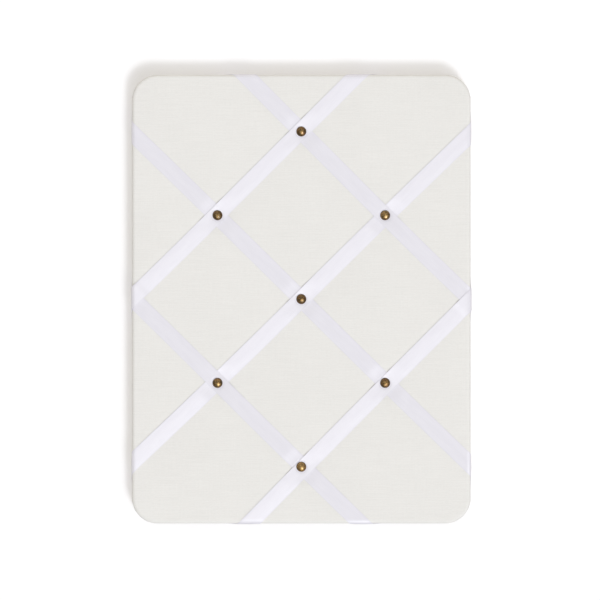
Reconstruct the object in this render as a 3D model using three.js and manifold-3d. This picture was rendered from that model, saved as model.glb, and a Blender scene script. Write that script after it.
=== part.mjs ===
// French memo board: a padded board covered with fabric, with crossed ribbons held by domed nails.
// A back cover hides the staples, and two ring hangers carry the board on a wall.
// Units are millimetres. +Z is up and the front faces -Y. The origin is on the wall, behind the middle
// of the board. A depth is measured from the wall towards the viewer, so depth d lies at y = -d.

import * as THREE from "three";
import { mergeVertices } from "three/addons/utils/BufferGeometryUtils.js";
import Module from "manifold-3d";

const wasm = await Module();
wasm.setup();

// Board, measured over its fabric
const boardWidth = 381;
const boardHeight = 505;
const cornerRadius = 28.5;
const frontRoll = 5; // radius of the padded front edge

// Layers
const coreThickness = 9;
const paddingThickness = 7; // over the front
const sidePadding = 2.5; // round the edges, where the wadding is pulled thin
const fabricThickness = 0.8;
const flapWidth = 22; // fabric on the back, from the board's edge
const layGap = 0.3; // clearance between pieces that lie on one another
const backCoverThickness = 2;
const backCoverInset = 9; // from the board's edge

// Ribbons
const ribbonWidth = 18.3;
const ribbonThickness = 0.5;
const ribbonEdgeCross = 2; // from the board's sides in to where the outer ribbons cross
const ribbonEnd = 21; // end of a ribbon on the back, from the board's edge
const liftMargin = 4; // a ribbon stays lifted this far past the ribbon it crosses
const liftRamp = 11; // and comes down over this length

// Nails, and the tufts they pull in
const headDiameter = 11.3;
const headHeight = 4;
const headWall = 0.7;
const shankDiameter = 1.8;
const shankLength = 13.5; // from the rim to the tip
const shankTip = 3;
const shankClearance = 0.35;
const tuftDepth = 2.5;
const tuftMargin = 1.5; // flat floor of a tuft past the nail's head
const tuftRamp = 19; // from the floor out to the flat front

// Staples
const stapleCrown = 10;
const stapleLeg = 8;
const stapleWire = 0.7;
const stapleBand = 1.2;
const stapleClearance = 0.3;
const ribbonStapleInset = 14; // from the board's edge
const fabricStapleInset = 16;
const backStapleMargin = 5; // from the fabric's cut edge

// Hangers
const hangerSpacing = 200;
const hangerDrop = 70; // from the top edge to the ring's bar
const ringWire = 2.5;
const ringHalfWidth = 8; // to the middle of the wire
const ringSide = 5; // from the bar to the ring's arch
const ringCorner = 2.5;
const ringButt = 0.4; // open joint in the bar
const ringClearance = 0.3;
const strapWidth = 10;
const strapSheet = 0.8;
const strapSlit = 0.2; // between the folded leaves
const strapBend = 5; // from the bar to where the leaves meet
const strapLength = 13.5; // from the bar to the end
const screwDrop = 8; // from the bar to the screw
const screwHead = 5.4;
const screwHeadHeight = 1.9;
const screwDiameter = 2.9;
const screwLength = 11;
const screwTip = 2.5;
const screwClearance = 0.3;

// Wall bumpers
const bumperDiameter = 12;
const bumperMargin = 4; // from the staples in the corners
const bumperChamfer = 0.8;

// Facets. The faces that the fabric hides have fewer round the front edge and down a tuft.
const cornerSegments = 5;
const frontSegments = 3;
const hiddenFrontSegments = 2;
const backSegments = 2;
const tuftSegments = 8;
const tuftSteps = 3;
const hiddenTuftSteps = 2;
const nailSegments = 16;
const domeSteps = 5;
const holeSegments = 6;
const ringSteps = 32;
const bendSegments = 4;

// Depths, from the wall to the front
const loopRadius = ringWire / 2 + ringClearance + strapSheet;
const standoff = 2 * loopRadius + layGap; // rear face of the back cover
const backCoverFront = standoff + backCoverThickness;
const coreBack = backCoverFront + stapleWire + ribbonThickness + fabricThickness + 4 * layGap;
const coreFront = coreBack + coreThickness;
const paddingBack = coreFront + layGap;
const paddingFront = paddingBack + paddingThickness;
const boardFront = paddingFront + layGap + fabricThickness;
const flapRear = coreBack - layGap - fabricThickness;
const nailSeat = boardFront - tuftDepth + 2 * ribbonThickness + 3 * layGap;

// The fabric turns on to the back about the core's rear edge
const backRoll = fabricThickness + layGap + sidePadding;
const backTurn = coreBack + sidePadding;

// Runs along the fabric, from where the front starts to roll over
const frontArc = (frontRoll * Math.PI) / 2;
const sideRun = boardFront - frontRoll - backTurn;
const backArc = (backRoll * Math.PI) / 2;
const backRun = frontArc + sideRun + backArc;
const wrapRuns = runsRound(frontSegments);
const hiddenRuns = runsRound(hiddenFrontSegments);

const tuftFloor = headDiameter / 2 + tuftMargin;
const tuftRadius = tuftFloor + tuftRamp;
const tuftRadii = radiiDown(tuftSteps);
const hiddenRadii = radiiDown(hiddenTuftSteps);

// The ribbons cross at 45 degrees, from nail to nail across and up
const ribbonPitch = (boardWidth / 2 - ribbonEdgeCross) / 2;

// Finishes
const finishes = {
  fabric: { color: 0xebe9e3, roughness: 0.95, metalness: 0 },
  ribbon: { color: 0xf1eff5, roughness: 0.4, metalness: 0 },
  brass: { color: 0x7a6140, roughness: 0.35, metalness: 1 },
  wadding: { color: 0xf7f6f2, roughness: 1, metalness: 0 },
  fibreboard: { color: 0xb08c60, roughness: 0.85, metalness: 0 },
  hardboard: { color: 0x7b5a3c, roughness: 0.7, metalness: 0 },
  steel: { color: 0xb9bcc0, roughness: 0.35, metalness: 1 },
  felt: { color: 0x57534e, roughness: 1, metalness: 0 },
};

// Nails, in steps of the pitch from the middle of the board
const nails = [
  { name: "nail_top", across: 0, up: 2 },
  { name: "nail_upper_left", across: -1, up: 1 },
  { name: "nail_upper_right", across: 1, up: 1 },
  { name: "nail_centre", across: 0, up: 0 },
  { name: "nail_lower_left", across: -1, up: -1 },
  { name: "nail_lower_right", across: 1, up: -1 },
  { name: "nail_bottom", across: 0, up: -2 },
].map(({ name, across, up }) => ({ name, x: across * ribbonPitch, z: up * ribbonPitch }));

// Ribbons, by slope and by height on the middle line in steps of the pitch. A higher layer passes over.
const ribbons = [
  { name: "ribbon_rising_upper", slope: 1, up: 2, layer: 3 },
  { name: "ribbon_rising_middle", slope: 1, up: 0, layer: 1 },
  { name: "ribbon_rising_lower", slope: 1, up: -2, layer: 3 },
  { name: "ribbon_falling_upper", slope: -1, up: 2, layer: 2 },
  { name: "ribbon_falling_middle", slope: -1, up: 0, layer: 0 },
  { name: "ribbon_falling_lower", slope: -1, up: -2, layer: 2 },
].map(ribbonLine);

// Numbers from first to last in equal steps
function steps(first, last, count) {
  return Array.from({ length: count + 1 }, (_, i) => first + ((last - first) * i) / count);
}

function runsRound(frontCount) {
  return [
    ...steps(0, frontArc, frontCount),
    ...steps(frontArc + sideRun, backRun, backSegments),
  ];
}

function radiiDown(rampCount) {
  return [0, ...steps(tuftFloor, tuftRadius, rampCount)];
}

function smooth(share) {
  const t = THREE.MathUtils.clamp(share, 0, 1);
  return t * t * (3 - 2 * t);
}

// A closed geometry as a solid that faces out
function toSolid(geometry) {
  const bare = geometry.clone();
  bare.deleteAttribute("normal");
  bare.deleteAttribute("uv");
  const merged = mergeVertices(bare);
  const vertProperties = new Float32Array(merged.attributes.position.array);
  const triVerts = new Uint32Array(merged.index.array);
  const solid = new wasm.Manifold(new wasm.Mesh({ numProp: 3, vertProperties, triVerts }));
  if (solid.volume() > 0) {
    return solid;
  }
  for (let i = 0; i < triVerts.length; i += 3) {
    [triVerts[i + 1], triVerts[i + 2]] = [triVerts[i + 2], triVerts[i + 1]];
  }
  return new wasm.Manifold(new wasm.Mesh({ numProp: 3, vertProperties, triVerts }));
}

function toGeometry(solid) {
  const mesh = solid.getMesh();
  const indexed = new THREE.BufferGeometry();
  indexed.setAttribute("position", new THREE.BufferAttribute(mesh.vertProperties, 3));
  indexed.setIndex(new THREE.BufferAttribute(mesh.triVerts, 1));
  const geometry = indexed.toNonIndexed();
  geometry.computeVertexNormals();
  return geometry;
}

function piece(name, solid, finish) {
  const mesh = new THREE.Mesh(toGeometry(solid), new THREE.MeshStandardMaterial(finish));
  mesh.name = name;
  return mesh;
}

function surface(points, triangles) {
  const geometry = new THREE.BufferGeometry().setFromPoints(points);
  geometry.setIndex(triangles.flat());
  return geometry;
}

// The board's outline, inset from its edge, counterclockwise from the right as seen from the front
function outline(inset) {
  const radius = Math.max(cornerRadius - inset, layGap);
  const halfX = boardWidth / 2 - inset - radius;
  const halfZ = boardHeight / 2 - inset - radius;
  const corners = [
    [halfX, halfZ],
    [-halfX, halfZ],
    [-halfX, -halfZ],
    [halfX, -halfZ],
  ];
  return corners.flatMap(([x, z], quarter) =>
    steps(quarter, quarter + 1, cornerSegments).map((turn) => {
      const angle = (turn * Math.PI) / 2;
      return new THREE.Vector2(x + radius * Math.cos(angle), z + radius * Math.sin(angle));
    }),
  );
}

// A solid through outlines at given insets and depths, from the front one to the rear one
function loft(rings) {
  const loops = rings.map(({ inset, depth }) =>
    outline(inset).map((p) => new THREE.Vector3(p.x, -depth, p.y)),
  );
  const count = loops[0].length;
  const last = (loops.length - 1) * count;
  const triangles = [];
  for (const [a, b, c] of THREE.ShapeUtils.triangulateShape(outline(rings[0].inset), [])) {
    triangles.push([a, b, c]);
  }
  for (const [a, b, c] of THREE.ShapeUtils.triangulateShape(outline(rings.at(-1).inset), [])) {
    triangles.push([last + a, last + c, last + b]);
  }
  for (let ring = 0; ring < last; ring += count) {
    for (let i = 0; i < count; i += 1) {
      const next = (i + 1) % count;
      triangles.push([ring + i, ring + count + i, ring + count + next]);
      triangles.push([ring + i, ring + count + next, ring + next]);
    }
  }
  return toSolid(surface(loops.flat(), triangles));
}

function slab(inset, rear, front) {
  return loft([
    { inset, depth: front },
    { inset, depth: rear },
  ]);
}

// A solid turned about an axis through the board, from points of radius and depth
function turned(profile, segments, x = 0, z = 0) {
  const points = profile.map(([radius, depth]) => new THREE.Vector2(radius, -depth));
  return toSolid(new THREE.LatheGeometry(points, segments).translate(x, 0, z));
}

function rod(radius, rear, front, x, z) {
  const profile = [
    [0, rear],
    [radius, rear],
    [radius, front],
    [0, front],
  ];
  return turned(profile, holeSegments, x, z);
}

// Inset and depth of a point on the wrapped fabric, lifted off its outer face
function section(run, lift) {
  if (run <= frontArc) {
    const angle = run / frontRoll;
    const radius = frontRoll + lift;
    return {
      inset: frontRoll - radius * Math.sin(angle),
      depth: boardFront - frontRoll + radius * Math.cos(angle),
    };
  }
  if (run <= frontArc + sideRun) {
    return { inset: -lift, depth: boardFront - frontRoll - (run - frontArc) };
  }
  if (run <= backRun) {
    const angle = (run - frontArc - sideRun) / backRoll;
    const radius = backRoll + lift;
    return {
      inset: backRoll - radius * Math.cos(angle),
      depth: backTurn - radius * Math.sin(angle),
    };
  }
  return { inset: backRoll + run - backRun, depth: flapRear - lift };
}

// The nearest corner centre or edge line, and the way out from it, for a point of the unrolled fabric
function edgeOf(x, z) {
  const halfX = boardWidth / 2 - cornerRadius;
  const halfZ = boardHeight / 2 - cornerRadius;
  const near = new THREE.Vector2(
    THREE.MathUtils.clamp(x, -halfX, halfX),
    THREE.MathUtils.clamp(z, -halfZ, halfZ),
  );
  const out = new THREE.Vector2(x, z).sub(near);
  return { near, out, run: out.length() - (cornerRadius - frontRoll) };
}

function tuftAt(radius) {
  const share = THREE.MathUtils.clamp((radius - tuftFloor) / tuftRamp, 0, 1);
  return (tuftDepth * (1 + Math.cos(Math.PI * share))) / 2;
}

// A point of the unrolled fabric, wrapped on to the board and lifted off the fabric's outer face
function wrapPoint(x, z, lift) {
  const { near, out, run } = edgeOf(x, z);
  if (run <= 0) {
    const drawn = Math.max(...nails.map((nail) => tuftAt(Math.hypot(x - nail.x, z - nail.z))));
    return new THREE.Vector3(x, -(boardFront - drawn + lift), z);
  }
  const { inset, depth } = section(run, lift);
  out.setLength(cornerRadius - inset);
  return new THREE.Vector3(near.x + out.x, -depth, near.y + out.y);
}

// Padding and cover

function tuftCut(front, nail, radii) {
  const profile = radii.map((radius) => [radius, front - tuftAt(radius)]);
  profile.push([tuftRadius, front + tuftDepth], [0, front + tuftDepth]);
  return turned(profile, tuftSegments, nail.x, nail.z);
}

// The padded form at an offset inside the fabric's outer face, with a tuft at each nail
function paddedForm(offset, runs, radii) {
  const form = loft(runs.map((run) => section(run, -offset)));
  const tufts = nails.map((nail) => tuftCut(boardFront - offset, nail, radii));
  return form.subtract(wasm.Manifold.union(tufts));
}

function nailHoles() {
  const radius = shankDiameter / 2 + shankClearance;
  const front = boardFront + headHeight;
  const rear = nailSeat - shankLength - layGap;
  return wasm.Manifold.union(nails.map((nail) => rod(radius, rear, front, nail.x, nail.z)));
}

// Ribbons

function ribbonLine({ name, slope, up, layer }) {
  const offset = up * ribbonPitch;
  return {
    name,
    slope,
    offset,
    layer,
    middle: new THREE.Vector2((-slope * offset) / 2, offset / 2),
    along: new THREE.Vector2(1, slope).normalize(),
    across: new THREE.Vector2(-slope, 1).normalize(),
  };
}

function ribbonPoint(ribbon, station, side) {
  return ribbon.middle
    .clone()
    .addScaledVector(ribbon.along, station)
    .addScaledVector(ribbon.across, side);
}

// Stations where a ribbon meets those of the other slope
function crossings(ribbon) {
  return ribbons
    .filter((other) => other.slope !== ribbon.slope)
    .map((other) => {
      const x = (ribbon.slope * (other.offset - ribbon.offset)) / 2;
      const z = (other.offset + ribbon.offset) / 2;
      const station = new THREE.Vector2(x, z).sub(ribbon.middle).dot(ribbon.along);
      return { station, x, z, over: ribbon.layer > other.layer };
    });
}

function liftAt(ribbon, station) {
  const raised = ribbonThickness + layGap;
  const held = ribbonWidth / 2 + liftMargin;
  const shares = crossings(ribbon)
    .filter((crossing) => crossing.over)
    .map((crossing) => 1 - smooth((Math.abs(station - crossing.station) - held) / liftRamp));
  return layGap + raised * Math.max(0, ...shares);
}

// The station on one end of a ribbon where its middle line has come a given run round the edge
function stationAt(ribbon, end, run) {
  let inner = 0;
  let outer = boardWidth + boardHeight;
  for (let pass = 0; pass < 60; pass += 1) {
    const station = (inner + outer) / 2;
    const point = ribbonPoint(ribbon, end * station, 0);
    if (edgeOf(point.x, point.y).run < run) {
      inner = station;
    } else {
      outer = station;
    }
  }
  return end * inner;
}

// How far the rows of a ribbon lean, so that they lie along the board's edge where it rolls over
function leanAt(ribbon, station) {
  const end = Math.sign(station) || 1;
  const roll = stationAt(ribbon, end, 0);
  const point = ribbonPoint(ribbon, roll, 0);
  const { out } = edgeOf(point.x, point.y);
  const full = -out.dot(ribbon.across) / out.dot(ribbon.along);
  return full * smooth(1 - (Math.abs(roll) - Math.abs(station)) / (2 * ribbonWidth));
}

function rowStations(ribbon) {
  const stations = [];
  for (const end of [-1, 1]) {
    const runs = [...wrapRuns, backRun + ribbonEnd - backRoll];
    stations.push(...runs.map((run) => stationAt(ribbon, end, run)));
  }
  for (const { station, x, z } of crossings(ribbon)) {
    const onFront = edgeOf(x, z).run < 0;
    const held = ribbonWidth / 2 + liftMargin;
    const reach = onFront ? tuftRadii : [held, held + liftRamp / 2, held + liftRamp];
    const ways = onFront ? [-1, 1] : [-Math.sign(station)];
    stations.push(...ways.flatMap((way) => reach.map((radius) => station + way * radius)));
  }
  stations.sort((a, b) => a - b);
  return stations.filter((station, i) => i === 0 || station - stations[i - 1] > layGap);
}

function ribbonSolid(ribbon) {
  const sides = [-ribbonWidth / 2, 0, ribbonWidth / 2];
  const rows = rowStations(ribbon).map((station) => {
    const lean = leanAt(ribbon, station);
    const nodes = sides.map((side) => {
      const at = station + lean * side;
      const point = ribbonPoint(ribbon, at, side);
      return { point, lift: liftAt(ribbon, at) };
    });
    const under = nodes.map(({ point, lift }) => wrapPoint(point.x, point.y, lift));
    const over = nodes.map(({ point, lift }) =>
      wrapPoint(point.x, point.y, lift + ribbonThickness),
    );
    return [...under, ...over.reverse()];
  });
  const count = rows[0].length;
  const last = (rows.length - 1) * count;
  const triangles = [];
  for (let row = 0; row < last; row += count) {
    for (let i = 0; i < count; i += 1) {
      const next = (i + 1) % count;
      triangles.push([row + i, row + next, row + count + next]);
      triangles.push([row + i, row + count + next, row + count + i]);
    }
  }
  for (let i = 0; i < sides.length - 1; i += 1) {
    const facing = count - 1 - i;
    triangles.push([i, facing, facing - 1], [i, facing - 1, i + 1]);
    triangles.push([last + i, last + facing - 1, last + facing]);
    triangles.push([last + i, last + i + 1, last + facing - 1]);
  }
  return toSolid(surface(rows.flat(), triangles));
}

// Staples

function stapleSolid() {
  const half = stapleCrown / 2;
  const shape = new THREE.Shape();
  shape.moveTo(-half, 0);
  shape.lineTo(half, 0);
  shape.lineTo(half, stapleLeg);
  shape.lineTo(half - stapleWire, stapleLeg);
  shape.lineTo(half - stapleWire, stapleWire);
  shape.lineTo(stapleWire - half, stapleWire);
  shape.lineTo(stapleWire - half, stapleLeg);
  shape.lineTo(-half, stapleLeg);
  const geometry = new THREE.ExtrudeGeometry(shape, { depth: stapleBand, bevelEnabled: false });
  return toSolid(geometry.translate(0, 0, -stapleBand / 2));
}

// A staple's crown lies at the given depth, turned in the board's plane, and its legs point forward
function stapleMesh(name, { x, z, depth, turn }) {
  const mesh = piece(name, stapleSolid(), finishes.steel);
  mesh.position.set(x, -depth, z);
  mesh.rotation.set(Math.PI, -turn, 0, "YXZ");
  return mesh;
}

function stapleHoles(meshes) {
  const wide = stapleWire + 2 * stapleClearance;
  const deep = stapleBand + 2 * stapleClearance;
  const long = stapleLeg + stapleClearance;
  const holes = meshes.flatMap((mesh) => {
    mesh.updateMatrix();
    return [-1, 1].map((side) => {
      const leg = new THREE.BoxGeometry(wide, long, deep);
      leg.translate((side * (stapleCrown - stapleWire)) / 2, long / 2, 0);
      return toSolid(leg.applyMatrix4(mesh.matrix));
    });
  });
  return wasm.Manifold.union(holes);
}

// Where a ribbon's end lies on the back, and which way its width runs there
function ribbonStaplePlace(ribbon, end) {
  const station = stationAt(ribbon, end, backRun + ribbonStapleInset - backRoll);
  const tops = [-1, 0, 1].map((side) => {
    const point = ribbonPoint(ribbon, station, side);
    return wrapPoint(point.x, point.y, layGap + ribbonThickness);
  });
  const width = tops[2].clone().sub(tops[0]);
  return {
    x: tops[1].x,
    z: tops[1].z,
    depth: flapRear - ribbonThickness - 2 * layGap - stapleWire,
    turn: Math.atan2(width.z, width.x),
  };
}

// Places on the two long edges, one above and one below the middle, between the ribbon ends
function longEdgePlaces(inset, depth) {
  const rising = ribbonStaplePlace(ribbons[1], 1);
  const height = rising.z - ribbonPitch;
  return [-1, 1].flatMap((side) =>
    [-1, 1].map((way) => ({
      x: side * (boardWidth / 2 - inset),
      z: way * height,
      depth,
      turn: Math.PI / 2,
    })),
  );
}

function middlePlaces(inset, depth) {
  return [-1, 1].flatMap((side) => [
    { x: side * (boardWidth / 2 - inset), z: 0, depth, turn: Math.PI / 2 },
    { x: 0, z: side * (boardHeight / 2 - inset), depth, turn: 0 },
  ]);
}

function cornerPlaces(inset, depth) {
  const reach = (cornerRadius - inset) * Math.SQRT1_2;
  return [-1, 1].flatMap((side) =>
    [-1, 1].map((way) => ({
      x: side * (boardWidth / 2 - cornerRadius + reach),
      z: way * (boardHeight / 2 - cornerRadius + reach),
      depth,
      turn: (-side * way * Math.PI) / 4,
    })),
  );
}

// Nails

function nailSolid({ x, z }) {
  const radius = headDiameter / 2;
  const shank = shankDiameter / 2;
  const outside = steps(0, Math.PI / 2, domeSteps).map((angle) => [
    radius * Math.sin(angle),
    nailSeat + headHeight * Math.cos(angle),
  ]);
  const root = Math.asin(shank / (radius - headWall));
  const inside = steps(Math.PI / 2, root, domeSteps - 2).map((angle) => [
    (radius - headWall) * Math.sin(angle),
    nailSeat + (headHeight - headWall) * Math.cos(angle),
  ]);
  const tip = nailSeat - shankLength;
  const profile = [...outside, ...inside, [shank, tip + shankTip], [0, tip]];
  return turned(profile, nailSegments, x, z);
}

// Hangers. Depth within a hanger is measured from the back cover towards the wall.

const strapStack = 2 * strapSheet + strapSlit;
const ringHeight = ringSide + ringHalfWidth;
const barDepth = standoff - loopRadius;
const barHeight = boardHeight / 2 - hangerDrop;
const screwSeat = standoff - strapStack - layGap;
const ringLean = Math.asin((loopRadius - ringWire / 2 - layGap) / ringHeight);

// One strip of sheet, folded round the ring's bar so that its two leaves lie together below it
function strapSolid() {
  const inner = loopRadius - strapSheet;
  const rearFace = 2 * loopRadius;
  const half = strapBend / 2;
  const shape = new THREE.Shape();
  shape.moveTo(0, -strapLength);
  shape.lineTo(0, 0);
  shape.absarc(loopRadius, 0, loopRadius, Math.PI, 0, true);
  shape.bezierCurveTo(rearFace, -half, strapStack, -half, strapStack, -strapBend);
  shape.lineTo(strapStack, -strapLength);
  shape.lineTo(strapStack - strapSheet, -strapLength);
  shape.lineTo(strapStack - strapSheet, -strapBend);
  shape.bezierCurveTo(
    strapStack - strapSheet,
    strapSheet - half,
    rearFace - strapSheet,
    strapSheet - half,
    rearFace - strapSheet,
    0,
  );
  shape.absarc(loopRadius, 0, inner, 0, Math.PI, false);
  shape.lineTo(strapSheet, -strapLength);
  const options = { depth: strapWidth, bevelEnabled: false, curveSegments: bendSegments };
  const folded = new THREE.ExtrudeGeometry(shape, options);
  folded.translate(0, 0, -strapWidth / 2);
  const toBack = new THREE.Vector3(0, 1, 0);
  const up = new THREE.Vector3(0, 0, 1);
  const sideways = new THREE.Vector3(1, 0, 0);
  folded.applyMatrix4(new THREE.Matrix4().makeBasis(toBack, up, sideways));
  return toSolid(folded.translate(0, -standoff, 0));
}

// The rounded end of the strap, seen from the back
function strapTab() {
  const half = strapWidth / 2;
  const shape = new THREE.Shape();
  shape.moveTo(half, 2 * loopRadius);
  shape.lineTo(-half, 2 * loopRadius);
  shape.absarc(0, half - strapLength, half, Math.PI, 2 * Math.PI, false);
  const options = { depth: 2 * standoff, bevelEnabled: false, curveSegments: bendSegments };
  const tab = new THREE.ExtrudeGeometry(shape, options);
  return toSolid(tab.rotateX(Math.PI / 2).translate(0, standoff / 2, 0));
}

function ringPath() {
  const at = (x, z) => new THREE.Vector3(x, 0, z);
  const round = 0.5523 * ringHalfWidth; // handle of a quarter circle
  const wide = ringHalfWidth;
  const path = new THREE.CurvePath();
  for (const side of [1, -1]) {
    const curves = [
      [at(ringButt / 2, 0), at(wide - ringCorner, 0)],
      [at(wide - ringCorner, 0), at(wide, 0), at(wide, ringCorner)],
      [at(wide, ringCorner), at(wide, ringSide)],
      [at(wide, ringSide), at(wide, ringSide + round), at(round, ringHeight), at(0, ringHeight)],
    ];
    const mirrored = curves.map((points) => points.map((p) => at(side * p.x, p.z)));
    const ordered = side > 0 ? mirrored : mirrored.reverse().map((points) => points.reverse());
    ordered.forEach((points) => path.add(curveThrough(points)));
  }
  return path;
}

function curveThrough(points) {
  if (points.length === 2) {
    return new THREE.LineCurve3(...points);
  }
  if (points.length === 3) {
    return new THREE.QuadraticBezierCurve3(...points);
  }
  return new THREE.CubicBezierCurve3(...points);
}

function ringSolid() {
  const wire = new THREE.Shape().absarc(0, 0, ringWire / 2, 0, 2 * Math.PI, false);
  const options = { steps: ringSteps, curveSegments: bendSegments, extrudePath: ringPath() };
  return toSolid(new THREE.ExtrudeGeometry(wire, options));
}

function screwSolid() {
  const head = screwHead / 2;
  const shank = screwDiameter / 2;
  const profile = [
    [0, screwSeat - screwHeadHeight],
    [head * 0.6, screwSeat - screwHeadHeight * 0.92],
    [head * 0.93, screwSeat - screwHeadHeight * 0.6],
    [head, screwSeat - screwHeadHeight * 0.25],
    [head, screwSeat],
    [shank, screwSeat],
    [shank, screwSeat + screwLength - screwTip],
    [0, screwSeat + screwLength],
  ];
  return turned(profile, 12, 0, -screwDrop);
}

function screwHole() {
  const radius = screwDiameter / 2 + screwClearance;
  return rod(radius, 0, screwSeat + screwLength + layGap, 0, -screwDrop);
}

function hanger(side) {
  const label = side < 0 ? "left" : "right";
  const group = new THREE.Group();
  group.position.set((side * hangerSpacing) / 2, 0, barHeight);
  const strap = strapSolid().intersect(strapTab()).subtract(screwHole());
  const ring = piece(`hanger_ring_${label}`, ringSolid(), finishes.steel);
  ring.position.set(0, -barDepth, 0);
  ring.rotation.set(ringLean, 0, 0);
  group.add(piece(`hanger_strap_${label}`, strap, finishes.steel), ring);
  group.add(piece(`hanger_screw_${label}`, screwSolid(), finishes.steel));
  return group;
}

function bumper(side) {
  const radius = bumperDiameter / 2;
  const profile = [
    [0, 0],
    [radius - bumperChamfer, 0],
    [radius, bumperChamfer],
    [radius, standoff],
    [0, standoff],
  ];
  const inset = flapWidth + backStapleMargin + stapleCrown / 2 + bumperMargin + radius;
  const x = side * (boardWidth / 2 - inset);
  const z = inset - boardHeight / 2;
  return piece(`wall_bumper_${side < 0 ? "left" : "right"}`, turned(profile, 16, x, z), finishes.felt);
}

// Assembly

function stapleRow(kind, places) {
  return places.map((place, i) => stapleMesh(`${kind}_staple_${i + 1}`, place));
}

function memoBoard() {
  const flapDepth = flapRear - layGap - stapleWire;
  const ribbonStaples = stapleRow(
    "ribbon",
    ribbons.flatMap((ribbon) => [-1, 1].map((end) => ribbonStaplePlace(ribbon, end))),
  );
  const fabricStaples = stapleRow("fabric", [
    ...longEdgePlaces(fabricStapleInset, flapDepth),
    ...middlePlaces(fabricStapleInset, flapDepth),
  ]);
  const backStaples = stapleRow("back", [
    ...longEdgePlaces(flapWidth + backStapleMargin, standoff - stapleWire),
    ...cornerPlaces(flapWidth + backStapleMargin, standoff - stapleWire),
  ]);
  const staples = [...ribbonStaples, ...fabricStaples, ...backStaples];
  const stapled = stapleHoles(staples);
  const backStapled = stapleHoles(backStaples);
  const nailed = nailHoles();
  const screwed = wasm.Manifold.union(
    [-1, 1].map((side) => screwHole().translate([(side * hangerSpacing) / 2, 0, barHeight])),
  );

  const skin = fabricThickness + layGap;
  const cavity = slab(backRoll, coreBack - layGap, paddingBack);
  const core = slab(backRoll + layGap, coreBack, coreFront);
  const opening = slab(flapWidth, flapRear - fabricThickness, flapRear + 2 * fabricThickness);
  const outside = paddedForm(0, wrapRuns, tuftRadii);
  const inside = paddedForm(fabricThickness, hiddenRuns, hiddenRadii);
  const cover = outside.subtract(inside).subtract(opening);
  const padding = paddedForm(skin, hiddenRuns, hiddenRadii).subtract(cavity);
  const backCover = slab(backCoverInset, standoff, backCoverFront);

  const board = new THREE.Group();
  board.name = "french_memo_board";
  board.add(
    piece("core_board", core.subtract(stapled).subtract(nailed).subtract(screwed), finishes.fibreboard),
    piece("padding", padding.subtract(nailed), finishes.wadding),
    piece("fabric_cover", cover.subtract(stapled).subtract(nailed), finishes.fabric),
    piece("back_cover", backCover.subtract(backStapled).subtract(screwed), finishes.hardboard),
  );
  for (const ribbon of ribbons) {
    const pierced = ribbonSolid(ribbon).subtract(nailed).subtract(stapled);
    board.add(piece(ribbon.name, pierced, finishes.ribbon));
  }
  for (const nail of nails) {
    board.add(piece(nail.name, nailSolid(nail), finishes.brass));
  }
  board.add(...staples, hanger(-1), hanger(1), bumper(-1), bumper(1));
  return board;
}

export default memoBoard();
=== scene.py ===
"""A padded memo board with crossed satin ribbons, dressed for its studio picture.

Sizes are in metres. The wall is the plane y = 0, the front looks to minus y, and z is up.
"""

import logging
import math
from collections.abc import Callable
from dataclasses import dataclass, field
from enum import Enum

import bmesh
import bpy
import numpy as np
from mathutils import Matrix, Vector


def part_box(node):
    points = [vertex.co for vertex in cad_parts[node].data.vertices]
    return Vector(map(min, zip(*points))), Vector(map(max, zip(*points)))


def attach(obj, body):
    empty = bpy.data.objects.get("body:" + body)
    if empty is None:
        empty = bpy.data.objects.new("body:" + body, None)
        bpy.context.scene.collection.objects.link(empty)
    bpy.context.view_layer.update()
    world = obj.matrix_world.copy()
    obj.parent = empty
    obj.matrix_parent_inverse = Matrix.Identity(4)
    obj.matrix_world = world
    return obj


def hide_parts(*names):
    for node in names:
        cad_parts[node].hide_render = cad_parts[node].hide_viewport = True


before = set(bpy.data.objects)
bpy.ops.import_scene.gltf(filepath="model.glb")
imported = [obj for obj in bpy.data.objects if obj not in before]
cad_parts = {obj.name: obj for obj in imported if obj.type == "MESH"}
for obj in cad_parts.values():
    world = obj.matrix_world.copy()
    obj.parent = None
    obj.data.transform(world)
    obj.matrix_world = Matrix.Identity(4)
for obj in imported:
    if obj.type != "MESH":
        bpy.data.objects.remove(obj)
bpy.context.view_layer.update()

LOG = logging.getLogger("memo_board")

Colour = tuple[float, float, float]
Place = tuple[float, float, float]
Test = Callable[[Vector, Vector], bool]

# From this share on, a direction counts as straight along an axis.
STRAIGHT = 0.99
# Length of one step across and one step up, which is how the ribbons run.
DIAGONAL = math.sqrt(2.0)
# Cloth, wadding and ribbons stay sharp where they turn by more degrees than this.
SOFT_FOLD = 50.0
# Places nearer to each other than this, in metres, count as the same.
TOUCH = 1e-5


class Pick(Enum):
    """What is selected in edit mode."""

    EDGES = "EDGE"
    FACES = "FACE"


class Slope(Enum):
    """Which way a ribbon runs, seen from the front."""

    RISING = 1
    FALLING = -1


class Side(Enum):
    """A side of the board, seen from the front."""

    LEFT = -1
    RIGHT = 1

    @property
    def label(self) -> str:
        """The side's name as it stands in piece names."""
        return self.name.lower()


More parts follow.
